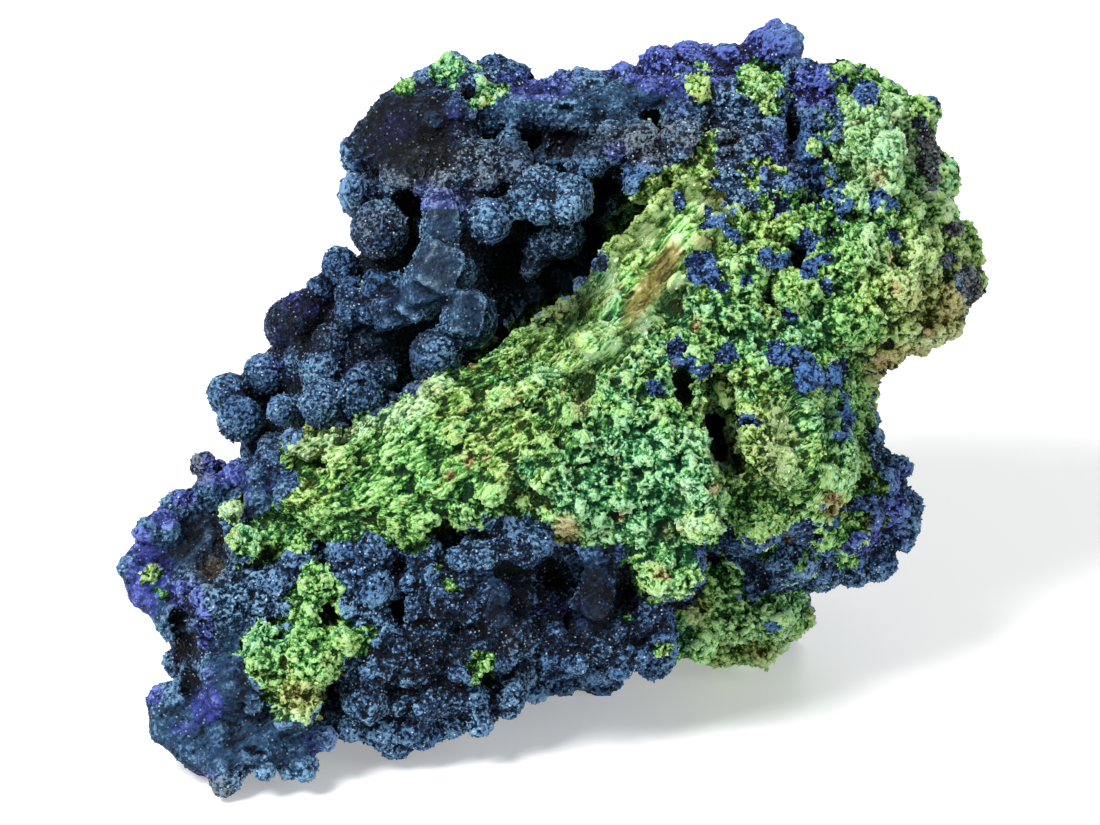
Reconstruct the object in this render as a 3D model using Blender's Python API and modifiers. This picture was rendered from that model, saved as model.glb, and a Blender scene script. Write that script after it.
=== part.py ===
"""An azurite and malachite specimen: one natural piece, in metres, +Z up.

The lumps are laid out in millimetres in an upright layout plane: right, up, and near,
which runs towards the viewer. The layout leans back by LEAN onto the floor, so that the
piece rests on its own low lumps. It grew as one piece, so it is one solid.
"""

import math
import random

import bmesh
import bpy
from mathutils import Matrix, Vector, noise

NAME = "azurite_specimen"
MM = 0.001

LEAN = math.radians(25.0)  # the layout plane's up leans away from the viewer by this
EYE = 600.0  # mm from the layout plane to the viewer: nearer lumps draw in to the middle
FLOOR = -27.6  # mm, the height in the leaned layout at which the feet are worn flat
VOXEL = 0.8  # mm, the grain at which the lumps fuse
TRIANGLES = 9800

# Masses: right, up, near, then half width, half height, half depth, and turn in degrees.
CORE = (
    (-28, -20.5, 5, 11, 10.5, 10, 0),  # left foot block
    (-17, -11, -1, 17, 10, 14, 28),  # under the flank, left
    (1, -6, 0, 19, 13, 15, 20),  # middle
    (-3, -20, -3, 21, 7.4, 12, 12),  # low front
    (20, 0, -3, 13, 16, 12, 0),  # right of the middle
    (27, 19, -8, 13, 13, 10, 0),  # upper right
    (9, 26, -15, 19, 7, 8, 0),  # behind the top ledge
    (-8, 18, -15, 11, 15, 8, 0),  # back wall behind the balls
    (-21, 2, -11, 10, 8, 8, 20),  # left back
    (-9, -9.5, -22, 18, 10, 11.5, 0),  # rear foot
    (9, 5, -20, 22, 17, 9, 15),  # back
    (29, -9.5, -3, 6, 6.5, 8, 0),  # lower right lobe
    (18, -17.5, -8, 7, 6.5, 9, 0),  # low right
    (-12, 14, -8, 8, 11, 6, 0),  # wall behind the balls
    (-22, 4, -8, 8, 6, 7, 25),  # its lower left end
    (-12, -19, 2, 19, 11, 12, 10),  # behind the dark front
    (-32, -30, 8, 7, 6, 8, 0),  # the left foot's tip
    (8, 30.5, -8, 17, 3.6, 6, 0),  # top ledge
    (10, 25.5, -3, 11, 3, 4, 0),  # tier under the ledge
    (-1, 20, -5, 6, 5, 5, 0),  # behind the middle balls
    (-13.5, 28, -9, 5, 4.5, 6, 0),  # shoulder
)
FLANK = (  # the malachite slope below the crest
    (-19, -6.5, 8, 10, 4.6, 7, 22),
    (-10, -5.0, 10, 11, 6.5, 7.5, 25),
    (0, -2.5, 11, 10, 8, 8, 30),
    (8, 1.0, 10, 9, 9, 8, 40),
    (6, 8.5, 7, 8, 5, 6, 45),
    (13, -6.0, 12, 6, 7, 8, 0),
    (17, 12.0, 4, 8, 9, 8, 0),
    (22, 2.0, 7, 7, 8, 7, 0),
    (24, -5.0, 7, 5.5, 7, 7, 0),
    (31, 12.0, 1, 8, 8, 8, 20),
    (32.6, 25.5, -1, 3.4, 6.5, 7, 8),
    (36, 13.5, -5, 6, 7, 7, 20),
    (21, 21, -2, 8, 8, 7, 0),
)

# Lumps: right, up, near, radius.
CREST = (  # the sharp upper edge of the flank, from the left foot up to the top ledge
    (-29.5, -7.0, 8.5, 1.8),
    (-25.0, -3.2, 10.0, 1.7),
    (-15.0, 1.4, 12.0, 1.7),
    (-6.0, 5.3, 13.0, 1.6),
    (0.5, 9.4, 12.0, 1.5),
    (5.5, 14.2, 9.5, 1.5),
    (9.5, 18.2, 7.0, 1.6),
    (15.0, 23.5, 4.5, 1.7),
)
LOBES = (  # rounded lobes standing out of the flank
    (-26.0, -8.0, 13, 2.2),
    (-22.5, -9.8, 14, 2.4),
    (-21.0, -4.5, 14, 2.0),
    (-17.0, -8.6, 15, 2.4),
    (-14.6, -4.0, 15.5, 2.0),
    (-11.6, -7.6, 16, 2.4),
    (-9.0, -2.8, 17, 2.2),
    (-5.4, -6.0, 17.5, 2.5),
    (-4.6, 0.4, 17.5, 2.0),
    (-1.4, -3.6, 18, 2.4),
    (-0.4, 2.8, 17, 2.0),
    (1.6, -6.4, 18, 2.6),
    (3.4, -0.6, 18, 2.6),
    (3.6, 5.8, 14.5, 2.0),
    (6.0, -3.6, 18, 2.4),
    (7.0, 2.2, 17, 2.4),
    (7.4, 6.4, 14, 1.8),
    (9.6, -1.2, 17.5, 2.6),
    (10.4, -5.6, 17.5, 2.6),
    (11.0, 4.4, 15.5, 2.4),
    (11.6, 8.2, 13.5, 2.0),
    (13.6, 0.6, 16, 2.4),
    (13.8, 12.0, 11, 2.0),
    (14.6, 5.4, 14, 2.2),
    (15.0, 16.4, 9, 2.2),
    (16.2, 9.4, 12, 2.2),
    (18.2, 13.4, 11.5, 2.4),
    (18.6, 19.2, 7, 2.2),
    (19.4, 4.6, 12.5, 2.2),
    (20.4, 9.0, 11.5, 2.4),
    (20.6, 0.8, 12.5, 2.2),
    (22.0, 15.6, 9.5, 2.2),
    (22.4, 22.2, 4, 2.4),
    (23.8, 6.0, 11, 2.2),
    (24.2, -1.2, 11, 2.2),
    (25.0, 11.0, 8.5, 2.2),
    (26.0, 18.6, 6.5, 2.4),
    (27.2, 3.0, 8, 2.0),
    (27.0, 25.4, 1, 2.6),
    (28.2, 14.4, 8.5, 2.4),
    (29.4, 9.0, 8, 2.2),
    (29.8, 20.8, 6, 2.2),
    (30.8, 29.2, 1.5, 2.2),
    (31.6, 16.6, 8.5, 2.2),
    (32.6, 11.4, 8, 2.4),
    (33.4, 25.0, 6, 2.4),
    (34.8, 20.0, 4, 2.2),
    (35.6, 15.6, 3.5, 2.4),
    (37.4, 11.6, 1, 2.2),
    (38.8, 17.6, -1, 2.2),
)
BALLS = (  # the grape-like azurite wall above the crest
    (-17.1, 18.2, -1, 2.9),
    (-10.9, 20.7, 3, 2.0),
    (-11.0, 18.2, 4, 2.1),
    (-11.0, 15.6, 5, 2.2),
    (-12.3, 13.4, 5, 2.1),
    (-8.8, 14.0, 3, 1.5),
    (-6.1, 19.1, 3, 2.3),
    (-1.2, 22.0, 2, 2.6),
    (1.8, 21.4, 3, 2.5),
    (-0.9, 20.1, 4.5, 1.4),
    (1.8, 20.4, 4.8, 1.7),
    (1.2, 17.5, 1, 2.2),
    (-1.1, 16.2, 0, 1.7),
    (-2.0, 14.3, 0, 1.1),
    (-21.0, 14.7, -5, 1.9),
    (-22.9, 12.4, -6, 1.4),
    (-25.8, 8.7, -7, 2.8),
    (-24.6, 9.9, -7, 2.4),
    (-19.7, 11.8, -2, 1.9),
    (-20.0, 10.2, -1, 1.6),
    (-17.8, 10.3, 0, 1.6),
    (-15.7, 10.3, 1, 1.9),
    (-15.5, 12.4, 0, 1.7),
    (-8.1, 9.2, 5, 2.9),
    (-11.4, 5.7, 5, 2.6),
    (-12.6, 10.8, -1, 1.7),
    (-22.1, 7.1, -3, 1.9),
    (-18.1, 7.3, -4, 1.7),
    (-22.9, 4.4, -2, 2.2),
    (-25.0, 5.4, -4, 1.7),
    (-28.7, 3.9, -5, 2.0),
    (-32.2, 1.8, -5, 2.1),
    (-31.0, -0.6, -3, 2.3),
    (-18.1, 3.3, -1, 1.9),
    (-16.8, 3.8, -2, 1.5),
    (-19.0, 1.5, 2, 2.3),
    (-22.7, 1.0, 2, 2.4),
    (-26.7, 0.3, 0, 1.6),
    (-34.7, -5.3, -2, 1.2),
    (-19.4, 22.3, -4, 1.0),
)
TIERS = (  # shoulder, second tier and top ledge, from left to right
    (-14.0, 28.0, -5, 5.2),
    (-17.6, 26.8, -5, 3.0),
    (-10.2, 29.3, -4, 3.7),
    (-13.0, 24.9, -1, 2.6),
    (-15.3, 23.3, -1, 2.2),
    (-8.8, 25.7, -1, 2.4),
    (-8.1, 23.3, 0, 2.8),
    (-4.6, 25.4, -1, 2.3),
    (-4.9, 23.0, 0, 2.1),
    (-9.8, 34.2, -9, 2.2),
    (-6.0, 33.6, -10, 1.9),
    (-3.6, 30.2, -3, 2.2),
    (-0.5, 30.4, -3, 2.2),
    (3.0, 30.6, -3, 2.2),
    (6.5, 31.0, -3, 2.5),
    (10.0, 31.5, -4, 2.8),
    (14.2, 31.0, -3, 3.3),
    (18.0, 30.6, -4, 3.2),
    (21.4, 31.2, -4, 2.8),
    (3.0, 25.6, 1, 1.9),
    (5.8, 26.6, 1, 2.1),
    (8.6, 27.6, 0, 2.2),
    (10.6, 25.2, 2, 2.4),
    (13.2, 26.0, 1, 2.7),
    (17.0, 25.0, 1, 2.6),
    (20.4, 25.4, 0, 2.2),
    (8.8, 23.0, 3, 2.0),
)
TOPS = (  # the skyline: druse slopes and two peaks
    (-2.0, 32.4, -9, 1.8),
    (2.5, 31.9, -9, 1.9),
    (7.5, 32.6, -10, 2.2),
    (10.5, 33.2, -11, 2.6),
    (14.0, 34.2, -11, 3.5),
    (18.0, 34.6, -12, 2.8),
    (22.2, 35.6, -13, 3.4),
    (22.3, 38.2, -13, 1.7),
    (26.5, 32.6, -8, 3.0),
    (29.8, 32.4, -10, 3.0),
    (33.0, 30.6, -10, 3.2),
    (35.8, 28.6, -10, 3.2),
    (36.8, 25.4, -10, 2.8),
    (38.2, 21.0, -8, 2.2),
)
RIGHT = (  # the right rim, down to the notch
    (40.5, 17.2, -7, 2.2),
    (41.6, 15.2, -7, 2.0),
    (41.3, 12.6, -7, 2.2),
    (39.4, 9.8, -7, 2.2),
    (36.5, 8.0, -5, 2.6),
    (33.0, 6.2, -4, 2.6),
    (30.2, 3.6, -2, 2.4),
)
LOBE = (  # the lower right azurite lobe and the feet under it
    (33.0, -4.8, -1, 1.9),
    (34.2, -6.6, -2, 2.0),
    (35.0, -9.4, -3, 2.1),
    (34.7, -12.2, -3, 2.0),
    (32.3, -14.0, -3, 2.2),
    (30.4, -15.0, -2, 1.9),
    (32.0, -9.4, 1, 2.3),
    (28.6, -11.8, 4, 2.6),
    (26.4, -11.2, 6, 2.0),
    (27.0, -15.8, -2, 2.6),
    (24.0, -15.0, 2, 2.6),
    (22.2, -20.6, -7, 3.0),
    (17.4, -21.6, -6, 3.6),
    (18.9, -23.0, -9, 2.6),
    (15.5, -19.6, -2, 3.2),
)
CURTAIN = (  # the malachite lobes that hang over the dark front
    (14.2, -7.3, 16, 3.0),
    (14.2, -10.7, 17, 2.6),
    (11.3, -15.9, 16, 2.5),
    (14.0, -15.4, 15, 2.1),
    (9.1, -13.4, 15, 2.2),
    (7.5, -9.0, 15, 3.0),
    (4.0, -9.2, 16, 2.5),
    (1.4, -9.6, 16, 2.5),
    (20.6, -11.4, 12, 2.1),
    (18.1, -10.3, 13, 1.3),
    (23.5, -10.7, 10, 1.4),
    (22.2, -4.8, 12, 3.0),
    (27.2, -6.0, 8, 2.6),
    (29.6, -5.0, 4, 2.4),
    (18.7, -7.6, 11, 1.8),
    (-20.0, -10.6, 14, 2.2),
    (-14.0, -10.8, 15, 2.4),
    (-8.0, -9.6, 15.5, 2.4),
    (-3.0, -8.4, 16, 2.4),
    (-30.6, -12.9, 14, 2.2),
    (-32.0, -9.9, 11, 1.1),
)
FOOT = (  # the smooth-skinned left foot and its tip
    (-41.0, -15.5, 8, 2.4),
    (-40.5, -18.2, 8, 2.2),
    (-38.8, -12.2, 7, 2.6),
    (-37.0, -9.6, 6, 2.2),
    (-34.0, -8.0, 6, 2.0),
    (-31.0, -5.8, 6, 1.8),
    (-27.8, -3.4, 6, 1.8),
    (-38.4, -21.0, 9, 1.7),
    (-33.0, -19.4, 14, 2.4),
    (-38.6, -28.8, 12, 2.2),
    (-38.4, -31.6, 13, 2.4),
    (-36.0, -33.4, 14, 2.4),
    (-32.8, -35.2, 16, 2.4),
    (-32.6, -37.2, 16.6, 1.7),
    (-29.0, -33.8, 16, 2.4),
    (-25.6, -34.6, 15, 2.0),
    (-23.6, -32.4, 14, 2.0),
    (-32.0, -27.0, 16, 3.6),
    (-25.5, -25.0, 17, 3.8),
    (-21.8, -24.0, 16, 2.4),
    (-25.5, -29.4, 17, 2.6),
    (-24.6, -19.6, 16, 2.2),
    (-22.9, -16.4, 15, 1.6),
    (-25.3, -14.8, 13.5, 1.6),
    (-28.4, -17.6, 14, 2.2),
)
DRUSE = (  # the dark crystal-crusted front under the curtain
    (-18.5, -15.0, 14, 2.8),
    (-18.0, -19.4, 14.5, 2.6),
    (-13.0, -14.6, 14, 2.2),
    (-11.4, -18.4, 14.5, 2.6),
    (-16.6, -23.6, 15, 2.8),
    (-12.2, -23.2, 14.5, 2.4),
    (-18.6, -28.0, 13.5, 2.6),
    (-19.6, -31.4, 12, 2.2),
    (-15.0, -31.6, 11, 2.4),
    (-11.6, -31.2, 10, 2.2),
    (-13.6, -27.6, 13, 2.0),
    (-9.6, -28.0, 12.5, 2.4),
    (-7.4, -24.6, 14, 2.4),
    (-7.0, -29.6, 10.5, 2.2),
    (-3.6, -27.6, 10.5, 2.0),
    (-7.2, -14.4, 14.5, 2.4),
    (-6.6, -19.4, 14.5, 2.4),
    (-2.8, -13.6, 15, 2.2),
    (-3.0, -22.6, 13.5, 2.4),
    (1.6, -23.6, 12, 2.6),
    (4.6, -18.4, 13.5, 2.4),
    (5.6, -14.2, 14, 2.0),
    (6.2, -23.0, 11, 2.4),
    (10.0, -20.6, 10.5, 2.4),
    (10.6, -24.4, 6, 2.6),
    (5.0, -25.0, 7, 2.2),
    (13.4, -22.4, 5, 2.4),
)

# Hollows, cut out of the fused lumps: as for the masses.
HOLLOWS = (
    (-0.6, 12.4, 4, 5.6, 3.6, 11, 38),  # the deep vug behind the crest
    (1.4, 27.0, 2, 3.6, 1.7, 6, 0),  # slot under the ledge
    (17.4, -3.6, 15, 1.9, 3.3, 7, 20),  # hole in the curtain
    (13.2, 2.8, 18, 1.4, 1.6, 4, 0),
    (-34.6, -14.0, 15, 2.5, 3.0, 5, 0),  # pocket in the left foot
    (-37.0, -22.6, 13, 1.2, 5.0, 4, 8),  # channel down the left foot
    (0.5, -17.6, 15, 2.0, 2.2, 4, 0),  # pit in the dark front
    (24.0, 27.6, 0, 0.8, 4.0, 5, 4),  # crack right of the ledge
    (9.4, 12.7, 14.5, 1.2, 4.0, 3, -40),  # long hollow in the flank
    (-15.2, -19.0, 17, 0.8, 2.6, 3, 0),
    (-23.2, -5.9, 15, 1.2, 0.8, 3, 0),
)


BACK = -6.0  # mm, near: scattered lumps grow on the core behind this
# Scattered lumps: smallest and largest radius, and how many on each square millimetre.
SCATTER = ((3.4, 5.6, 0.0035), (1.5, 2.8, 0.014))
SINK = 0.45  # how deep a scattered lump's middle lies under the skin, of its radius
# Weathering of the masses' skin, in mm: broad swells and knobs set close together.
SWELL, SWELL_SPAN = 2.2, 11.0
KNOB, KNOB_SPAN = 1.9, 5.2
KNOB_EDGE = 0.45  # of the span: a knob stands out this far round its middle, and sinks past it
GROUND_DEPTH = 40.0  # mm, the block that wears the feet
GROUND_WIDTH = 200.0


def clear_scene():
    for obj in list(bpy.data.objects):
        bpy.data.objects.remove(obj)


def new_collection(name):
    collection = bpy.data.collections.new(name)
    bpy.context.scene.collection.children.link(collection)
    return collection


def spot(right, up, near):
    """A layout spot as a world point in metres, before the piece is set on the floor."""
    draw_in = 1 - near / EYE
    right, up = right * draw_in, up * draw_in
    back = up * math.sin(LEAN) - near * math.cos(LEAN)
    height = up * math.cos(LEAN) + near * math.sin(LEAN)
    return Vector((right, back, height)) * MM


def add_mass(mesh, right, up, near, half_width, half_height, half_depth, turn, detail):
    """One ellipsoid, turned in the layout plane and leaned with it."""
    stand = Matrix.Rotation(math.radians(90) - LEAN, 4, "X")  # layout axes to the world
    stretch = Matrix.Diagonal((half_width * MM, half_height * MM, half_depth * MM, 1))
    turned = Matrix.Rotation(math.radians(turn), 4, "Z")
    place = Matrix.Translation(spot(right, up, near)) @ stand @ turned @ stretch
    made = bmesh.ops.create_icosphere(mesh, subdivisions=detail, radius=1, matrix=place)
    return made["verts"]


def weather(verts):
    """Roughens a mass: broad swells, and knobs with creases between them."""
    for vert in verts:
        place = vert.co / MM
        swell = noise.noise(place / SWELL_SPAN)
        nearest = noise.voronoi(place / KNOB_SPAN)[0][0]
        vert.co += vert.normal * MM * (SWELL * swell + KNOB * (KNOB_EDGE - nearest))


def add_lump(mesh, right, up, near, radius):
    add_mass(mesh, right, up, near, radius, radius, radius, 0, detail=2)


def skin_spot(dice, mass, sink):
    """A random spot at this depth under a mass's skin, as right, up and near."""
    right, up, near, half_width, half_height, half_depth, turn = mass
    tilt = math.radians(turn)
    way = Vector([dice.gauss(0, 1) for _ in range(3)]).normalized()
    across = way.x * (half_width - sink)
    along = way.y * (half_height - sink)
    return (
        right + across * math.cos(tilt) - along * math.sin(tilt),
        up + across * math.sin(tilt) + along * math.cos(tilt),
        near + way.z * (half_depth - sink),
    )


def scatter_lumps(mesh, dice, masses, nearest):
    """Lumps of mixed size on the skin of each mass, where it lies behind nearest."""
    for mass in masses:
        area = 4 * math.pi * math.prod(mass[3:6]) ** (2 / 3)
        for smallest, largest, density in SCATTER:
            for _ in range(round(area * density)):
                radius = dice.uniform(smallest, largest)
                place = skin_spot(dice, mass, SINK * radius)
                if place[2] < nearest:
                    add_lump(mesh, *place, radius)


def add_chain(mesh, lumps):
    """Lumps close enough together to fuse into one ridge."""
    for first, last in zip(lumps, lumps[1:]):
        steps = max(1, round(math.dist(first[:3], last[:3]) / first[3]))
        for step in range(steps):
            share = step / steps
            add_lump(mesh, *(a + (b - a) * share for a, b in zip(first, last)))
    add_lump(mesh, *lumps[-1])


def add_modifier(obj, kind, **settings):
    modifier = obj.modifiers.new(kind.title(), kind)
    for name, value in settings.items():
        setattr(modifier, name, value)
    return modifier


def mesh_object(name, mesh, collection):
    data = bpy.data.meshes.new(name)
    mesh.to_mesh(data)
    mesh.free()
    obj = bpy.data.objects.new(name, data)
    collection.objects.link(obj)
    return obj


def largest_island(mesh):
    """Takes away closed pockets and crumbs, so that one body is left."""
    islands = []
    unseen = set(mesh.verts)
    while unseen:
        island = []
        stack = [unseen.pop()]
        while stack:
            vert = stack.pop()
            island.append(vert)
            for edge in vert.link_edges:
                other = edge.other_vert(vert)
                if other in unseen:
                    unseen.remove(other)
                    stack.append(other)
        islands.append(island)
    islands.sort(key=len)
    for island in islands[:-1]:
        bmesh.ops.delete(mesh, geom=island, context="VERTS")


def settle(obj):
    """Turns the object's modifiers into its own mesh, one body of triangles."""
    graph = bpy.context.evaluated_depsgraph_get()
    mesh = bmesh.new()
    mesh.from_object(obj, graph)
    largest_island(mesh)
    bmesh.ops.triangulate(mesh, faces=mesh.faces)
    obj.modifiers.clear()
    mesh.to_mesh(obj.data)
    mesh.free()


def fused_lumps(collection):
    dice = random.Random(7)
    mesh = bmesh.new()
    for mass in CORE + FLANK:
        verts = add_mass(mesh, *mass, detail=4)
        mesh.normal_update()
        weather(verts)
    for group in (LOBES, BALLS, TIERS, TOPS, RIGHT, LOBE, CURTAIN, FOOT, DRUSE):
        for lump in group:
            add_lump(mesh, *lump)
    add_chain(mesh, CREST)
    scatter_lumps(mesh, dice, CORE, BACK)
    obj = mesh_object(NAME, mesh, collection)
    add_modifier(obj, "REMESH", mode="VOXEL", voxel_size=VOXEL * MM)
    settle(obj)
    return obj


def hide_cutter(cutter):
    cutter.hide_render = True
    cutter.display_type = "WIRE"
    return cutter


def hollow_cutter(collection):
    mesh = bmesh.new()
    for hollow in HOLLOWS:
        add_mass(mesh, *hollow, detail=2)
    return hide_cutter(mesh_object("hollows", mesh, collection))


def floor_cutter(collection):
    """A block whose top is the floor: it wears the low lumps flat."""
    mesh = bmesh.new()
    size = Matrix.Diagonal((GROUND_WIDTH, GROUND_WIDTH, GROUND_DEPTH, 1))
    middle = Matrix.Translation((0, 0, FLOOR - GROUND_DEPTH / 2))
    bmesh.ops.create_cube(mesh, size=1, matrix=Matrix.Scale(MM, 4) @ middle @ size)
    return hide_cutter(mesh_object("floor", mesh, collection))


def cut(obj, cutter):
    add_modifier(obj, "BOOLEAN", operation="DIFFERENCE", solver="EXACT", object=cutter)


def stand_on_origin(obj):
    """Moves the mesh so that the middle of its bounding box's underside is the origin."""
    spots = [vert.co for vert in obj.data.vertices]
    low = Vector(map(min, *spots))
    high = Vector(map(max, *spots))
    middle = (low + high) / 2
    obj.data.transform(Matrix.Translation((-middle.x, -middle.y, -low.z)))


def stone_material():
    material = bpy.data.materials.new("azurite and malachite")
    material.use_nodes = True
    surface = material.node_tree.nodes["Principled BSDF"]
    surface.inputs["Base Color"].default_value = (0.035, 0.07, 0.22, 1)
    surface.inputs["Roughness"].default_value = 0.55
    return material


def build():
    clear_scene()
    cutters = new_collection("cutters")
    specimen = fused_lumps(new_collection("azurite specimen"))
    cut(specimen, hollow_cutter(cutters))
    settle(specimen)
    share = TRIANGLES / len(specimen.data.polygons)
    add_modifier(specimen, "DECIMATE", ratio=share)
    settle(specimen)
    cut(specimen, floor_cutter(cutters))
    settle(specimen)
    stand_on_origin(specimen)
    specimen.data.materials.append(stone_material())


build()
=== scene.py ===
"""Dresses the azurite specimen: grape-like azurite, a mossy malachite slope, druses and grains."""

import concurrent.futures
import itertools
import math

import bmesh
import bpy
import numpy as np
from mathutils import Matrix, Vector


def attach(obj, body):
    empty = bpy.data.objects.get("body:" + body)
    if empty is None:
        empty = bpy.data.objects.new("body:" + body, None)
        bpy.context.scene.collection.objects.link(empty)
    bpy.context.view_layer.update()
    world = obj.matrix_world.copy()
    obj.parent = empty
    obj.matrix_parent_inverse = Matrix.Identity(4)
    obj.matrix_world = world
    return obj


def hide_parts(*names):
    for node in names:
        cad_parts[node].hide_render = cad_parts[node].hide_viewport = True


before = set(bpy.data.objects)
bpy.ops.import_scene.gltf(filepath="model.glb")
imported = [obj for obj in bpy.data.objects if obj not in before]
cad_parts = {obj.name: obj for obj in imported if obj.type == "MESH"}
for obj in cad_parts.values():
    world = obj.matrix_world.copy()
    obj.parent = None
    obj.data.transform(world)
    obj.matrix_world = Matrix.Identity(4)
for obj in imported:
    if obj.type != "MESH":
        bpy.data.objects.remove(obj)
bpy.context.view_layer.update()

NODE = "azurite_specimen"
MM = 0.001

# The same upright layout as the solid's: right, up and near in mm, leaning back by LEAN.
LEAN = math.radians(25.0)
EYE = 600.0  # mm from the layout plane to the eye
SET_DOWN = np.array((-0.66, -1.18, 27.6))  # mm, from the leaned layout to the part's origin
FRAME_WIDTH = 110.0  # mm across the camera's view at the layout plane

LIGHTS = (  # name, place off the specimen's middle and size in m, power in W
    ("key", (-0.5, -0.4, 0.75), 0.35, 13.0),
    ("fill", (0.7, -0.5, 0.35), 0.6, 2.0),
    ("rim", (0.1, 0.7, 0.6), 0.6, 2.5),
)
ROOM_LIGHT = 0.26  # strength of the even light from all round
FLOOR_HALF = 1.5  # m, half the floor's width
FLOOR_GLOW = 0.33  # the floor's own light, which keeps it pale

BODY_VOXEL = 0.5  # mm, grain at which the solid is softened
SKIN_VOXEL = 0.4  # mm, grain of the surface, halved again on the front
REAR = -8.0  # mm near, behind which the surface keeps the coarser grain and its knobs are largest
MOST_TRIANGLES = 190_000  # in one piece
SHARES = 12  # into which the points are split, to be worked on side by side
PROCESSORS = 4  # shares worked on at the same time
LOOKS = {  # the looks that each stone's material reads
    "malachite_crust": (
        "crest", "warm", "mint", "pale_and_highlight", "tan", "rust", "dim", "shade", "streak", "slope", "calm",
    ),
    "azurite_druse": ("crest", "violet", "bright", "grey", "dusty", "rust", "dim", "shade", "skin"),
}
RELIEF = ("green", "streak", "slope", "calm", "skin")  # the looks that shape the fine relief
FRONT_ONLY = ("tan", "streak", "slope", "calm", "pale_and_highlight", "skin")  # looks that the hidden side has none of
CLOUDED = {  # looks with clouds in them: common level, then strength, span in mm and salt of each cloud
    "warm": (0.35, (0.5, 9, 21), (0.4, 3, 27)),
    "mint": (0.35, (0.5, 8, 22), (0.5, 2.6, 28)),
    "violet": (0.12, (0.5, 6, 23)),
    "dusty": (0.4, (0.5, 4, 24)),
}
MOSS_DENSITY = 0.09  # share of the malachite's points that carry a flake
DRUSE_DENSITY = 0.1  # share of the azurite's points that carry a crystal
FLAKE_SIZE = 0.12  # mm from the smallest flake's middle to its rim
FLAKE_SPREAD = 0.22  # mm by which the largest is larger
CRYSTAL_SIZE = 0.2  # mm, the shortest crystal
CRYSTAL_SPREAD = 0.4  # mm by which the longest is longer
CLEAR = 0.5  # mm above the floor, below which no flake or crystal stands
KNOB_DENSITY = 0.013  # share of the softened solid's points that carry a scattered knob
KNOB_SINK = 0.55  # share of its radius by which a knob in the list is sunk
LOBE_SINK = 0.3  # the same for a lobe
SPOT_REACH = 0.7  # mm round a knob's or lobe's spot in which its nearest surface is looked for
BLOCK_TILT = 0.35  # radians by which every blunt crystal leans

# Which ways right, up and near in the layout point in the world.
AXES = np.array(((1, 0, 0), (0, math.sin(LEAN), math.cos(LEAN)), (0, -math.cos(LEAN), math.sin(LEAN))))

# Ways in which the fibres run on the upper and the lower slope.
STREAK = np.array((0.66, 0.75 * math.sin(LEAN), 0.75 * math.cos(LEAN)))
SLOPE = np.array((0.85, 0.53 * math.sin(LEAN), 0.53 * math.cos(LEAN)))

# Azurite balls: right, up, near, radius in mm.
BALLS = (
    (-17.1, 18.2, -1, 2.9), (-10.9, 20.7, 3, 2.0), (-11.0, 18.2, 4, 2.1), (-11.0, 15.6, 5, 2.2),
    (-12.3, 13.4, 5, 2.1), (-8.8, 14.0, 3, 1.5), (-6.1, 19.1, 3, 2.3), (-1.2, 22.0, 2, 2.6),
    (1.8, 21.4, 3, 2.5), (-0.9, 20.1, 4.5, 1.4), (1.8, 20.4, 4.8, 1.7), (1.2, 17.5, 1, 2.2),
    (-1.1, 16.2, 0, 1.7), (-2.0, 14.3, 0, 1.1), (-21.0, 14.7, -5, 1.9), (-22.9, 12.4, -6, 1.4),
    (-25.8, 8.7, -7, 2.8), (-24.6, 9.9, -7, 2.4), (-19.7, 11.8, -2, 1.9), (-20.0, 10.2, -1, 1.6),
    (-17.8, 10.3, 0, 1.6), (-15.7, 10.3, 1, 1.9), (-15.5, 12.4, 0, 1.7), (-8.1, 9.2, 5, 2.9),
    (-11.4, 5.7, 5, 2.6), (-12.6, 10.8, -1, 1.7), (-22.1, 7.1, -3, 1.9), (-18.1, 7.3, -4, 1.7),
    (-22.9, 4.4, -2, 2.2), (-25.0, 5.4, -4, 1.7), (-28.7, 3.9, -5, 2.0), (-32.2, 1.8, -5, 2.1),
    (-31.0, -0.6, -3, 2.3), (-18.1, 3.3, -1, 1.9), (-16.8, 3.8, -2, 1.5), (-19.0, 1.5, 2, 2.3),
    (-22.7, 1.0, 2, 2.4), (-26.7, 0.3, 0, 1.6), (-34.7, -5.3, -2, 1.2), (-19.4, 22.3, -4, 1.0),
)

# Blunt crystals among the balls: right, up, near, half width, half height, half depth, turn in degrees.
BLOCKS = (
    (-10.7, 19.4, 5.0, 1.5, 2.1, 1.5, 4), (-11.2, 14.6, 6.4, 2.3, 2.7, 1.8, -28),
    (-15.4, 10.2, 2.6, 2.2, 1.7, 1.4, 14), (-8.4, 9.9, 6.6, 1.9, 2.6, 1.6, -12),
    (-12.8, 12.2, 5.6, 1.9, 1.4, 1.4, 10), (-17.6, 12.6, 0.6, 1.2, 1.6, 1.2, -18),
    (-13.6, 10.9, 4.2, 1.5, 1.7, 1.2, -35), (-2.4, 21.2, 4.0, 1.3, 1.6, 1.2, 25),
    (-19.8, 2.6, 3.4, 1.0, 1.7, 1.0, -38),
)

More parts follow.
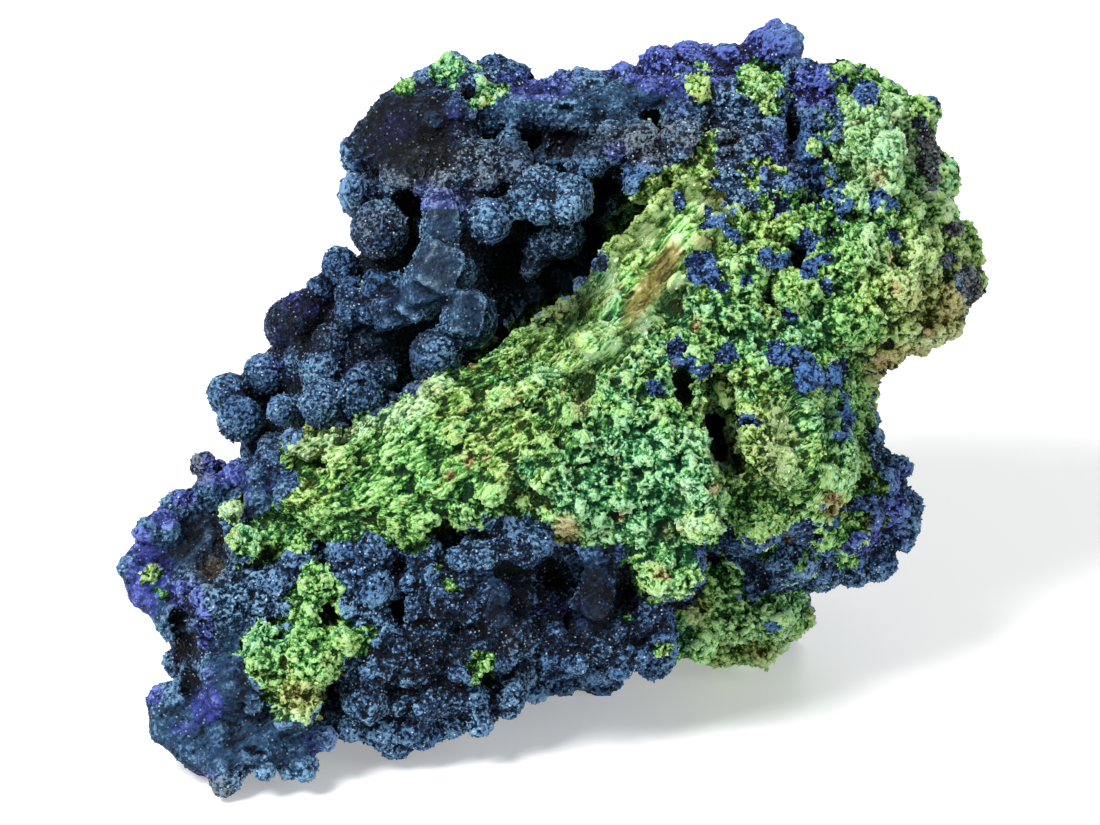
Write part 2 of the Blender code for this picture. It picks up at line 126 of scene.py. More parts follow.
# Knobs that sit on the surface wherever it is nearest: right, up, radius in mm.
KNOBS = (
    (4.6, -13.8, 1.6), (4.8, -16.6, 1.5), (4.6, -19.2, 1.5), (-1.3, -13.0, 1.5), (-3.1, -11.6, 1.0),
    (-5.6, -18.2, 1.6), (-4.8, -20.8, 1.2), (-3.2, -22.6, 1.7), (-8.0, -19.6, 1.2), (-10.6, -18.6, 1.5),
    (-13.4, -19.8, 1.4), (-17.6, -17.2, 1.7), (-20.4, -13.6, 1.6), (-17.5, -13.2, 1.8), (-20.6, -16.8, 1.5),
    (-18.2, -22.4, 1.5), (-16.2, -21.8, 1.2), (-13.9, -25.4, 2.0), (-17.4, -25.6, 1.5), (-12.0, -28.7, 2.0),
    (-18.6, -29.0, 1.9), (-15.6, -29.2, 1.3), (-16.6, -31.6, 1.9), (-13.4, -31.6, 1.5), (-9.6, -31.0, 1.4),
    (-7.0, -30.8, 1.4), (-4.2, -28.9, 1.6), (-1.2, -28.0, 1.0), (-0.8, -24.2, 1.2), (0.9, -22.4, 1.2),
    (2.4, -24.8, 1.2), (3.4, -21.8, 1.1), (5.0, -23.4, 1.3), (4.6, -25.6, 1.2), (7.0, -21.6, 1.2),
    (8.6, -24.0, 1.3), (11.2, -22.8, 1.7), (9.4, -20.6, 1.2), (7.0, -25.6, 1.0), (-9.0, -14.6, 1.0),
    (-6.6, -14.4, 1.1), (-12.2, -14.0, 1.0), (-14.2, -16.6, 1.1), (-11.8, -16.2, 0.9), (-8.4, -17.0, 0.9),
    (-15.0, -23.6, 1.1), (-20.3, -19.6, 1.3), (-27.4, -17.4, 1.4), (-25.0, -15.0, 1.1), (-28.6, -19.1, 1.1),
    (-30.6, -13.2, 1.8), (-29.0, -8.5, 1.5), (-31.9, -9.9, 1.1), (-40.3, -12.0, 1.2), (-42.0, -15.6, 1.2),
    (-24.6, -35.4, 1.3), (-28.6, -35.8, 1.0), (-37.4, -28.8, 1.2), (-22.6, -32.6, 1.2), (-20.4, -31.4, 1.2),
    (18.6, -7.3, 1.6), (15.9, -4.6, 0.8), (4.0, 25.4, 1.7), (6.5, 26.2, 1.2), (9.0, 27.0, 2.2),
    (13.4, 26.6, 2.4), (-5.0, 24.5, 1.7), (-8.6, 25.4, 1.9), (-12.6, 25.2, 1.8), (-14.6, 24.0, 1.5),
    (-10.4, 22.9, 1.5), (-6.8, 25.2, 1.8), (-10.6, 25.2, 1.9), (-13.8, 24.6, 1.7), (-11.6, 24.0, 1.7),
    (-8.8, 23.8, 1.7), (-6.6, 23.4, 1.4), (-3.4, 24.2, 1.3), (-12.6, 23.0, 1.4), (10.0, 23.8, 1.6),
    (17.0, 26.4, 1.8), (20.2, 26.0, 1.5), (26.8, 29.0, 1.5), (28.6, 23.6, 1.3), (29.4, 21.0, 1.1),
    (27.2, 33.0, 1.4), (33.4, -7.0, 1.3), (30.6, -12.0, 1.4), (34.6, -9.4, 1.3), (27.6, -13.2, 1.3),
    (23.0, -14.8, 1.3), (35.0, -5.4, 1.1), (32.0, -10.4, 1.2),
)

# Round lobes of malachite: right, up, half width, half height in mm.
LOBES = (
    (14.6, -7.0, 2.4, 2.3), (14.9, -11.0, 2.5, 1.9), (20.6, -11.4, 1.9, 2.1), (12.4, -16.3, 2.9, 2.2),
    (6.0, -7.6, 2.9, 2.0), (2.4, -8.8, 1.8, 1.9), (11.4, 0.0, 1.9, 1.5), (9.6, -4.0, 1.4, 1.2),
    (7.6, -0.8, 1.6, 1.3), (-24.8, -3.2, 1.9, 1.4), (-1.9, -0.8, 1.1, 1.0), (20.5, 4.0, 2.2, 1.9),
    (17.6, 2.4, 1.5, 1.5), (19.4, -3.2, 1.1, 1.4), (12.2, -3.6, 1.1, 1.1), (4.0, -2.8, 1.9, 1.5),
    (24.4, 12.0, 2.4, 1.8), (29.4, 9.0, 2.2, 2.4), (29.6, 15.4, 1.8, 2.0), (24.4, 18.4, 2.2, 1.6),
    (34.0, 25.0, 1.8, 3.0), (33.0, 20.6, 1.8, 1.8), (38.4, 20.0, 2.2, 2.2), (36.4, 15.4, 2.0, 1.8),
    (-28.8, -22.6, 1.8, 2.0), (-20.4, -22.8, 1.5, 1.5), (-23.0, -17.2, 1.3, 1.3), (-29.0, -26.0, 1.3, 1.6),
    (18.4, -21.2, 2.2, 1.9), (22.2, -20.0, 2.0, 1.6), (15.0, -23.4, 1.8, 1.4), (20.8, -24.0, 1.8, 1.2),
    (-0.4, -6.6, 1.7, 1.5), (8.8, -11.4, 1.6, 1.1), (6.6, -12.6, 1.3, 1.0), (-5.4, -8.0, 1.8, 1.4),
    (-8.8, -9.6, 1.5, 1.2), (-12.4, -10.6, 1.6, 1.4), (26.6, 8.2, 1.5, 1.5), (22.8, 0.4, 1.5, 2.4),
    (23.6, -5.8, 1.4, 2.0), (28.0, -6.6, 1.6, 1.5), (38.6, 8.6, 2.0, 1.8), (34.6, 11.8, 1.8, 1.6),
    (40.2, 12.4, 1.5, 2.0), (-30.6, -13.2, 1.8, 1.5),
)

# Holes and crevices, carved in and painted dark as shade: right, up, half width, half height, depth in mm.
HOLES = (
    (0.3, -16.8, 2.1, 2.7, 1.9), (7.4, -17.8, 1.1, 2.4, 1.3), (-7.4, -12.3, 1.8, 0.7, 1.6),
    (-15.0, -15.6, 0.8, 1.6, 1.2), (-15.2, -19.6, 0.9, 1.6, 1.2), (-9.1, -27.8, 1.3, 1.2, 1.2),
    (-12.6, -21.0, 1.4, 0.8, 1.0), (1.9, -21.0, 0.6, 1.0, 0.9), (-1.2, -25.0, 0.5, 1.6, 0.8),
    (13.3, 2.8, 1.3, 1.9, 2.0), (13.9, 1.2, 0.6, 1.2, 1.2), (16.4, -1.4, 1.1, 1.4, 3.0),
    (16.9, -3.6, 1.0, 1.6, 3.0), (18.7, -5.0, 0.9, 1.0, 1.8), (5.9, -4.5, 1.0, 0.4, 0.9),
    (3.6, -5.2, 1.6, 0.4, 0.8), (8.9, -6.2, 0.8, 0.5, 0.9), (6.3, -10.3, 0.9, 0.6, 0.9),
    (9.7, -9.6, 0.9, 0.4, 0.8), (12.2, -12.8, 1.5, 0.4, 1.0), (8.2, 12.1, 0.35, 0.3, 0.7),
    (8.9, 5.6, 0.9, 0.5, 0.8), (-4.3, 0.1, 0.9, 0.4, 0.6), (-23.1, -5.2, 0.9, 0.55, 1.5),
    (-2.0, -3.5, 1.2, 0.4, 0.6), (-14.2, -7.9, 1.1, 0.35, 0.5), (31.2, 29.3, 0.6, 0.7, 1.0),
    (27.6, 25.8, 0.6, 0.5, 1.0), (30.4, 19.5, 1.0, 0.8, 1.4), (19.9, 14.6, 0.8, 0.5, 0.8),
    (33.8, 6.9, 0.8, 0.8, 0.8), (36.5, 9.9, 1.1, 0.35, 0.5), (-8.0, 32.0, 1.0, 0.9, 1.5),
    (0.8, 27.0, 4.2, 1.7, 0.9), (1.6, 30.4, 1.0, 0.5, 1.0), (10.2, 29.6, 1.2, 0.7, 1.0),
    (24.3, 28.4, 0.8, 3.6, 1.6), (24.2, 33.2, 0.5, 2.0, 1.0), (17.6, 27.0, 1.6, 0.6, 0.9),
    (21.4, 28.4, 1.3, 0.5, 0.8), (-30.8, -29.5, 0.5, 0.5, 0.6), (-29.2, -34.0, 1.4, 0.35, 0.6),
    (-27.8, -14.3, 1.0, 0.7, 1.0), (-29.6, -15.4, 1.4, 0.4, 0.8), (-33.4, -12.0, 0.8, 2.6, 1.0),
    (2.8, -1.4, 0.6, 0.4, 0.6), (0.8, -3.0, 0.5, 0.8, 0.6), (9.3, -1.6, 1.0, 0.35, 0.6),
    (13.4, -4.3, 0.9, 0.4, 0.6), (17.2, -10.8, 0.5, 0.7, 0.9), (-10.6, 1.4, 0.5, 0.35, 0.4),
    (-16.0, -4.6, 0.4, 0.4, 0.4), (-11.5, -9.8, 0.5, 0.4, 0.5), (-13.7, -9.8, 0.4, 0.5, 0.5),
    (22.6, 16.6, 0.8, 0.4, 0.6), (28.2, 15.4, 0.9, 0.8, 0.6), (27.6, 18.0, 0.6, 0.5, 0.6),
    (6.4, 3.4, 0.9, 0.6, 0.4), (-38.0, -18.6, 1.1, 1.0, 1.0), (-37.2, -20.8, 1.3, 1.6, 1.2),
    (-36.5, -23.6, 1.5, 2.0, 1.4), (-35.9, -27.0, 1.4, 1.9, 1.1), (20.9, -8.6, 0.5, 0.5, 0.6),
    (16.6, -14.6, 1.2, 0.7, 0.8), (25.0, -9.6, 0.9, 0.35, 0.5), (22.2, 8.0, 1.0, 0.35, 0.4),
    (26.2, 6.4, 1.4, 0.4, 0.5), (-18.6, 2.9, 0.5, 0.5, 0.5), (-30.0, -33.6, 0.8, 0.4, 0.5),
    (5.6, 22.6, 1.4, 1.6, 1.2),
)

# Rock behind the balls, which closes the gaps between them.
BACKING = (
    (-31.6, -8.4, -4, 2.4), (-22.2, -30.4, 8.5, 2.2), (-17.0, 9.0, -7, 5.0), (-21.8, 8.4, -9, 3.2),
    (-24.6, 3.6, -8, 3.0), (-14.5, 14.2, -7, 4.6), (-17.0, 18.6, -6, 2.4), (-29.5, 1.4, -8, 2.2),
    (-33.4, -6.4, -4, 1.6), (-18.4, 21.4, -6, 1.6), (-20.4, 12.6, -7, 1.8),
)

# Bare dark rock that shows through the malachite: right, up, radius in mm.
ROCK = (
    (37.9, 27.2, 1.3), (38.0, 25.2, 1.3), (38.4, 23.6, 0.8), (36.9, 29.0, 0.7), (40.3, 18.6, 0.9),
    (39.7, 15.2, 0.9), (42.0, 13.2, 1.4), (42.4, 11.4, 1.0),
)

# Outlines in the layout, right and up in mm.
FLANK = (
    (-32.8, -12.6), (-31.8, -11.2), (-29.5, -10.2), (-27.6, -9.6), (-25.8, -8.0), (-24.7, -6.8),
    (-25.4, -5.6), (-27.0, -4.6), (-26.2, -3.0), (-24.3, -2.0), (-21.0, -1.7), (-18.2, -0.4), (-15.4, 1.3),
    (-12.2, 3.6), (-8.8, 5.2), (-4.8, 7.6), (-3.0, 9.3), (-0.6, 10.9), (2.8, 13.0), (5.0, 15.2),
    (5.4, 18.6), (6.4, 20.6), (8.6, 22.8), (12.2, 24.6), (15.9, 27.8), (17.0, 26.0), (16.6, 23.4),
    (19.0, 22.0), (21.0, 24.2), (24.5, 22.5), (26.5, 24.0), (28.2, 28.0), (27.6, 31.0), (29.0, 33.5),
    (30.5, 35.2), (33.5, 35.4), (36.5, 33.2), (39.5, 30.4), (41.4, 26.6), (42.4, 23.5), (43.6, 20.5),
    (45.0, 18.4), (46.0, 16.4), (45.0, 6.0), (37.0, 2.6), (32.4, 0.0), (32.2, -3.0), (32.6, -6.4),
    (31.8, -8.6), (29.2, -9.4), (27.0, -10.4), (25.0, -11.2), (22.8, -12.0), (21.4, -13.6), (19.4, -13.2),
    (18.6, -11.4), (17.4, -12.2), (16.4, -13.2), (15.2, -14.0), (16.0, -15.6), (15.0, -17.4), (13.0, -18.7),
    (10.0, -18.6), (8.4, -17.0), (6.6, -13.9), (4.4, -12.9), (3.0, -13.9), (1.7, -12.9), (-1.3, -11.2),
    (-3.7, -10.0), (-7.0, -11.2), (-11.2, -12.8), (-13.7, -13.9), (-15.7, -12.9), (-17.7, -11.3),
    (-20.7, -12.5), (-24.0, -13.2), (-28.0, -14.6), (-31.0, -15.2),
)
PATCH = (
    (-22.6, -14.5), (-20.6, -20.2), (-18.7, -21.8), (-18.6, -23.8), (-20.6, -24.4), (-21.3, -27.0),
    (-22.6, -29.2), (-24.2, -31.2), (-27.1, -30.7), (-28.7, -28.9), (-29.3, -27.0), (-30.9, -25.4),
    (-31.4, -22.8), (-30.3, -20.9), (-27.7, -20.9), (-26.4, -21.2), (-25.8, -19.3), (-26.4, -17.7),
    (-24.8, -16.7), (-23.8, -14.8),
)
LOW_RIGHT = (
    (14.6, -17.5), (16.4, -15.2), (18.4, -14.4), (19.2, -16.2), (18.6, -18.6), (20.6, -18.6), (22.4, -17.8),
    (26.6, -17.4), (27.4, -21.0), (25.0, -25.0), (21.0, -27.4), (14.4, -27.4), (12.4, -26.6), (12.6, -21.0),
)
NUB = (
    (-11.8, 33.6), (-10.6, 36.6), (-8.8, 35.8), (-8.6, 33.4), (-9.8, 32.4),
)
LEDGE_GREEN = (
    (18.9, 34.2), (21.0, 35.2), (23.4, 33.8), (23.2, 30.2), (21.4, 29.8), (20.2, 31.0), (18.4, 32.0),
)
GREEN_OUTLINES = (FLANK, PATCH, LOW_RIGHT, NUB, LEDGE_GREEN)

# Small spots: right, up, radius in mm.
GREEN_SPOTS = (
    (-10.5, -17.2, 0.8), (-11.0, -15.4, 0.6), (-7.0, -25.0, 1.3), (-6.4, -26.4, 1.1), (-4.2, -15.7, 0.8),
    (-17.8, -21.4, 0.5), (-39.3, -16.2, 0.9), (-38.7, -17.7, 0.7), (-31.9, -9.9, 1.2), (-14.6, 33.0, 0.8),
    (33.0, -7.5, 0.8), (32.5, -11.1, 1.2), (25.5, -14.3, 1.3), (29.3, -14.0, 1.3), (11.7, -23.7, 1.0),
    (7.7, -20.7, 0.5), (18.9, -6.0, 0.9), (-19.0, 13.3, 0.5), (14.6, 32.8, 1.6), (29.4, 34.6, 1.2),
    (-7.2, 33.6, 0.6), (-6.9, 31.2, 0.7), (-6.0, 31.9, 0.8), (-4.9, 32.0, 0.6),
)
BLUE_SPOTS = (
    (14.9, 14.6, 1.9), (16.4, 13.4, 1.0), (18.4, 17.9, 1.1), (15.8, 19.5, 1.2), (17.6, 20.2, 0.9),
    (21.6, 15.9, 0.9), (23.2, 15.0, 1.1), (25.8, 14.0, 1.1), (24.9, 16.0, 0.7), (25.9, 17.2, 1.1),
    (27.6, 15.6, 0.7), (17.4, 12.7, 0.8), (19.4, 13.0, 0.8), (27.4, 12.7, 0.7), (23.8, 9.8, 1.1),
    (17.8, 6.6, 0.9), (17.2, 5.4, 0.7), (15.5, 4.1, 0.9), (10.4, 2.5, 1.2), (12.3, 6.0, 1.2),
    (14.0, 5.2, 0.8), (29.6, 20.7, 1.1), (29.0, 22.4, 0.7), (22.1, -21.4, 0.7), (27.0, 21.6, 1.6),
    (26.2, 25.0, 1.6), (25.6, 28.0, 1.6), (23.4, 20.6, 0.9), (20.6, 20.4, 0.8), (13.2, 20.8, 0.8),
    (34.4, 17.6, 0.8), (19.9, -0.8, 0.8), (8.6, 24.6, 1.5), (31.6, 32.3, 1.4), (32.6, 21.2, 0.8),
    (34.0, 20.8, 0.6), (-20.4, -7.6, 0.5), (33.4, 21.6, 0.6),
)
TRAIL = (
    (21.4, 7.2, 1.0), (22.6, 6.2, 1.1), (24.2, 5.4, 1.2), (25.4, 4.4, 1.2), (26.6, 3.4, 1.1),
    (27.8, 3.4, 1.0), (28.8, 4.6, 1.1), (29.4, 3.0, 1.0), (29.8, 1.4, 1.0), (29.7, -0.4, 1.0),
    (29.0, -2.2, 0.9), (25.0, 2.6, 0.7),
)

# Broad tints and textures: right, up, half width, half height in mm, and strength.
SPOTS = {
    "warm": (  # yellow, olive and tan parts of the malachite
        (-9, 34, 3.4, 3, -0.5), (-38.4, -17.2, 1.6, 1.6, -0.5), (19, -5, 4, 4, 0.2), (-33, -13, 3, 2, 0.3),
        (-20, -7, 9, 4, 0.35), (-6, -1, 10, 5, 0.25), (33, 26, 5, 7, -0.05), (38, 12, 6, 6, 0.6),
        (36, 6, 5, 3, 0.6), (22.2, -3, 2.4, 5, 0.35), (-25, -29, 3, 2.4, 0.6), (20, -22, 6, 4, 0.1),
        (21, 33, 2, 2, 0.4), (8, -6, 8, 8, -0.5), (24, 8, 6, 6, -0.2),
    ),
    "mint": (  # bluish green parts of the malachite
        (-9, 34, 3.4, 3, 0.7), (-6, 31.6, 2, 1.4, 0.7), (-38.4, -17.2, 1.6, 1.6, 0.8),
        (21, 32.4, 3, 3, 0.3), (15.5, -4, 3, 3, 0.4), (16, 24, 3, 2.4, 0.4), (20, -16, 4, 3, 0.3),
        (31.5, 26, 4, 6, 0.3), (10, -8, 7, 7, 0.7), (14, -11, 4, 4, 0.5), (3, -7, 7, 4, 0.4),
        (-18, -1, 4, 2, 0.5), (27, 6, 5, 6, 0.3), (-29, -22, 3, 3, 0.7), (28, -3, 4, 5, 0.4),
        (9, 21, 3, 3, 0.4), (-31, -11, 2, 2, 0.8), (34, 12, 8, 8, -0.4), (-15, -6, 12, 6, -0.4),
    ),
    "violet": (  # violet parts of the azurite
        (12, 35, 9, 2.8, 1), (22, 38, 4, 3, 0.8), (31.6, 32.3, 1.4, 1.4, 1.4), (27, 32.6, 3, 2, 0.5),
        (-2, 33, 5, 1.8, 0.7), (27, 32.5, 3, 2, 0.4), (-11, 21.5, 3, 1.6, 0.6), (-24, 11, 3, 1.5, 0.6),
        (-39.6, -15.4, 1.8, 1.8, 1), (-36.4, -18.2, 1.8, 1.5, 0.9), (-34.6, -21.4, 1.0, 2.2, 0.8),
        (-38.6, -10.6, 1.4, 1.1, 0.8), (-36.6, -8.6, 1.4, 1.0, 0.8), (-41, -12.8, 1.2, 1.4, 0.7),
        (-41.2, -19.4, 1.8, 3, 0.6), (-34.2, -29.6, 1.6, 1.8, 0.9), (-36.6, -31.6, 2, 1, 0.6),
        (-34.4, -36.4, 2, 1, 0.6), (-39.8, -28, 1, 1.4, 0.7), (-34, -6, 4, 1.6, 0.6), (33, -10, 5, 6, 0.5),
        (0, -19.6, 2, 0.8, 0.6), (20, 26, 5, 3, 0.5), (28.5, 4, 3, 3, 0.4), (6.5, 26.2, 1.4, 1.2, 0.8),
        (31.5, 32.6, 1.4, 1, 1), (3.4, -11.5, 1, 1, 0.3),
    ),
    "grey": (  # grey parts of the azurite
        (-10.7, 19.4, 1.6, 2.1, 0.5), (-11.2, 14.6, 2.4, 2.7, 0.5), (-8.4, 9.9, 1.8, 2.4, 0.3),
        (-10, 24.5, 8, 3.2, 0.6), (-14, 28, 6, 5, 0.35), (12, 27, 8, 2.6, 0.7), (-25, 9, 4, 3, 0.4),
        (-17, 18, 3, 3, 0.5), (-33.4, -38, 2, 1.8, 0.7), (-34, -14, 3, 4, 0.4), (37.8, 26, 2, 4, 0.9),
        (-3.2, -22.6, 1.6, 1.6, 0.5), (41.2, 13, 1.5, 2, 0.9), (-35, -5, 2, 2, 0.8),
    ),
    "dusty": (  # paler, greyer blue parts of the azurite; the entries below zero deepen the blue, those on the lower front as painted shade
        (-11, 16, 5, 6, 0.45), (-8, 9, 4, 4, 0.35), (0, 21, 5, 4, 0.4), (8, 31, 14, 2.5, 0.45),
        (-30, -24, 12, 16, 0.4), (-12, -28, 4, 4, 0.1), (-25.4, 8.8, 3.4, 3.4, -0.6), (-14, 28, 6, 4, -0.3),
        (-8, -20, 7, 6, -0.25), (5, -20, 8, 5, -0.3), (-25, 2, 9, 5, 0.15), (20, 24, 7, 4, 0.5),
        (-17, 14, 3, 6, -0.3), (33, -10, 6, 6, -0.1),
    ),
    "dim": (  # recesses that hardly any light reaches
        (0, 12.5, 6, 4, 0.9), (0.8, 27.0, 5, 2, 1), (24.3, 27.3, 1, 3.6, 0.8), (17.4, -3.6, 1.8, 3, 0.9),
        (0.5, -17.3, 2.6, 3, 0.35), (-34.6, -14, 2.6, 3, 0.3), (-17, 6.2, 3.6, 1.8, 0.9),
        (-14.0, 7.6, 2.4, 1.2, 0.9), (-13.6, 3.6, 1.6, 1.6, 0.7), (-36.8, -22.6, 1.7, 5, 0.6),
    ),
    "cluster": (  # where the azurite stands as separate balls
        (-8, 17, 9, 8, 1), (-16, 13, 7, 8, 1), (-24, 7, 7, 5, 1), (-21, 2, 6, 4, 1), (-30, 0.5, 5, 4, 1),
        (-9, 7, 6, 4, 1), (0, 19, 6, 5, 1),
    ),
    "lobed": (  # where the malachite stands in round lobes
        (10, -8, 8, 9, 1), (3, -8, 6, 5, 0.8), (14, -13, 5, 5, 1), (27, 6, 6, 6, 0.6), (24, -5, 5, 6, 0.6),
        (-25, -24, 6, 7, 0.6), (19, -21, 6, 5, 0.7), (30, 20, 8, 12, 0.4), (22, 16, 6, 6, 0.5),
    ),
    "streak": (  # the upper slope, whose fibres run along STREAK
        (5, 8.5, 3, 3, 0.8), (8, 12, 4, 3.5, 1), (11, 15.5, 4, 3.5, 1), (14.5, 19.5, 3, 3, 1),
        (1.5, 6, 4, 2.5, 0.6),
    ),
    "slope": (  # the lower slope, whose fibres run along SLOPE
        (-20, -7, 10, 4, 1), (-9, -2, 9, 6, 1), (-2, 3, 6, 5, 0.7), (25.5, -3, 3, 6, 0.8),
    ),
    "mixed": (  # where azurite and malachite grow through each other
        (22, 23.4, 6, 2.6, 1), (27.6, 28.0, 2.4, 4, 1), (27.6, 20.6, 2.6, 3.4, 0.9),
        (19.6, 19.6, 3, 2.0, 0.8), (30, -11.6, 4, 2.4, 0.9), (24, -15, 4, 2, 0.9),
        (-28, -18, 2.4, 2.4, 0.5), (13, 31.8, 4, 1.6, 0.6),
    ),
    "shade": (  # darker parts: painted shade where the surface lies in shadow, such as the lower front and the creases under lobes, and some spots of darker tone
        (-36.2, -12.6, 2.2, 2.4, 0.6), (-36.3, -22, 1.2, 4.4, 0.9), (22, -16.4, 3, 1.6, 0.4),
        (12, -7.4, 1.2, 2.6, 0.5), (9.4, -11, 3, 1.6, 0.4), (-7.4, -9.4, 4, 1.8, 0.45),
        (-18, -11.6, 6, 1.6, 0.45), (29.4, 8.4, 3.4, 3.6, 0.4), (-1.4, -5.0, 2, 1.8, 0.4),
        (-14, 28.4, 6, 4.5, 1), (-8, -15, 8, 2.6, 0.7), (4, -20, 11, 5, 0.95), (-10, -22, 8, 4, 0.9),
        (-15, -28, 6, 5, 0.8), (18, 26.4, 5, 2.4, 0.5), (18, -18.5, 5, 2.4, 0.2),
        (-25.4, 8.8, 3.4, 3.4, 0.75), (8, -16.6, 1.6, 3, 0.5), (5.5, 22.6, 2, 1.8, 0.6),
        (20, 10.5, 5, 1.4, 0.25), (-10, 34, 2, 2.4, 0.5), (-31, -13.6, 2.2, 1.8, 0.35),
        (-4, 1.2, 3, 1.2, 0.25), (0.5, 0.8, 2.2, 1.0, 0.25), (14, 3, 2.6, 2.6, 0.4), (-3, 15, 4, 3, 0.35),
        (0, 17, 3, 2, 0.3),
    ),
    "calm": (  # smooth spots on the upper slope
        (9.9, 12.7, 1.8, 2.2, 0.9), (8.2, 10.2, 1.5, 1.8, 0.8), (11.8, 15.2, 1.5, 1.8, 0.9),
    ),
    "pale_and_highlight": (  # pale, smooth rims and creamy parts of the malachite, and painted highlights on lit lobes and edges
        (-24.2, -3.3, 2.4, 1.5, 0.7), (-20.6, -1.9, 2.4, 1.2, 0.8), (-17.2, -0.6, 2.2, 1.2, 0.9),
        (-14.2, 1.0, 2.2, 1.8, 0.9), (-11.6, 2.8, 1.8, 1.4, 0.8), (-31.9, -9.9, 1.2, 1.2, 1),
        (34.9, 30.2, 0.8, 1.3, 1), (35.9, 28.2, 0.8, 1.4, 1), (36.5, 25.8, 0.8, 1.6, 1),
        (38, 22.6, 0.9, 1.5, 0.9), (39.8, 20.4, 0.8, 1.4, 0.8), (41.6, 12.4, 1.2, 3.4, 0.8),
        (12.6, 16.6, 0.7, 1.6, 0.9), (10.8, 12.2, 0.6, 1.8, 0.8), (9.2, 8.8, 0.8, 1.4, 0.7),
        (6.4, 13.4, 0.9, 2.0, 0.5), (9.4, 17.4, 0.9, 2.0, 0.5), (13.7, -7.6, 1, 1.2, 0.6),
        (13.8, -11.2, 1, 0.9, 0.7), (10.7, -0.3, 0.8, 0.7, 0.7), (14.0, -2.2, 0.7, 1, 0.6),
        (1.5, -11.6, 0.8, 0.9, 0.9), (39, 7, 4, 1.4, 0.6), (15.4, 20.6, 1.2, 1.2, 0.5),
        (21.9, 14.2, 0.8, 0.8, 0.7), (-27, -30, 4, 1, 0.4), (21.0, -13.2, 1.6, 0.6, 0.5),
        (11.8, -18.2, 2.6, 0.6, 0.6), (32, 17, 0.9, 2.4, 0.4), (8, -12, 4, 1.2, 0.2),
        (31.5, 26, 4, 6, 0.45), (23, -3.5, 2.4, 4.4, 0.4), (36, 15.5, 3, 4, 0.25), (19, -21, 5, 3.6, 0.2),
    ),
    "skin": (  # smooth, dusty skins on the azurite
        (-10.7, 19.4, 1.7, 2.3, 0.9), (-11.2, 14.6, 2.6, 2.8, 0.9), (-15.4, 10.2, 2.3, 1.8, 0.9),
        (-8.4, 9.9, 2.1, 2.8, 0.8), (-13, 12, 2.4, 1.8, 0.8), (-25.4, 8.8, 3, 3, 0.6), (-14, 28, 6, 5, 0.5),
        (-40.5, -18, 3, 5, 0.9), (-36, -32.5, 6, 5, 0.9), (-31.5, -26, 3, 5, 0.9), (-27, -33, 6, 3, 0.8),
        (-34.6, -13, 3, 4, 0.7), (2, 30.4, 12, 2.2, 0.7), (-4.4, -18.4, 2, 3.6, 0.8),
        (4.8, -16.4, 1.8, 4.4, 0.8), (3.6, -20.6, 3.4, 1.8, 0.6), (-30, -7.6, 4, 2.6, 0.7),
        (10, 32.4, 5, 1.6, 0.6), (-16, 29, 5, 5, 0.4), (-29, -11, 3, 2, 0.4), (-38, -12.6, 3, 3, 0.6),
    ),
    "tan": (  # tan and brown parts of the malachite
        (12.3, 15.9, 1.0, 1.4, 1), (11.2, 14.3, 1.2, 1.5, 1), (10.0, 12.6, 1.3, 1.5, 1),
        (8.8, 11.0, 1.2, 1.5, 0.9), (7.8, 9.4, 0.9, 1.2, 0.6), (1.6, -11.7, 1.4, 1.6, 1),
        (36, 4.6, 5, 2.4, 0.9), (12.0, -12.0, 1, 1, 0.4), (41.5, 10, 3, 5, 0.6), (17.2, 21.4, 1.5, 1, 0.5),
        (-25, -28.5, 2, 1.6, 0.5), (28.4, -9.2, 1.6, 1.2, 0.7), (32.6, -10.9, 1.3, 1.0, 0.7),
        (11.1, -16.1, 1.0, 0.8, 0.7), (15, -19.7, 1.4, 1.8, 0.5), (20.8, -24, 1.6, 0.8, 0.5),
        (3.1, 0.6, 1.0, 1.4, 0.6), (14.6, 8.8, 0.6, 0.9, 0.7), (12.8, 10.8, 0.6, 1.0, 0.5),
        (15.2, 17.2, 1.3, 0.6, 0.7), (22.2, -3.0, 1.6, 4.0, 0.15), (38, 10.6, 3.6, 2.6, 0.4),
        (32.8, 23.6, 1.2, 1.4, 0.5),
    ),
}

# Brown and rusty spots: right, up, radius in mm.
RUST = (
    (-8, -5, 0.7), (-6.6, -4.4, 0.6), (-10, -6.2, 0.5), (23.8, -12.5, 0.8), (6.9, -10.5, 0.9),
    (28.3, -8.6, 0.6), (11.7, -16.3, 0.8), (-25.2, -28.2, 0.7), (-7.8, 4.6, 0.5), (34.5, 12.5, 0.8),
    (16.5, -7.6, 0.6), (34.1, 15.5, 0.6), (32.8, 23.6, 0.6), (14.6, 8.6, 0.5), (28.1, -10.0, 0.5),
    (12.3, 5.2, 0.4), (24.6, 21.6, 0.5), (-33.8, -15.7, 1.1), (38.0, 8.0, 1.2), (33.6, 5.2, 0.9),
)


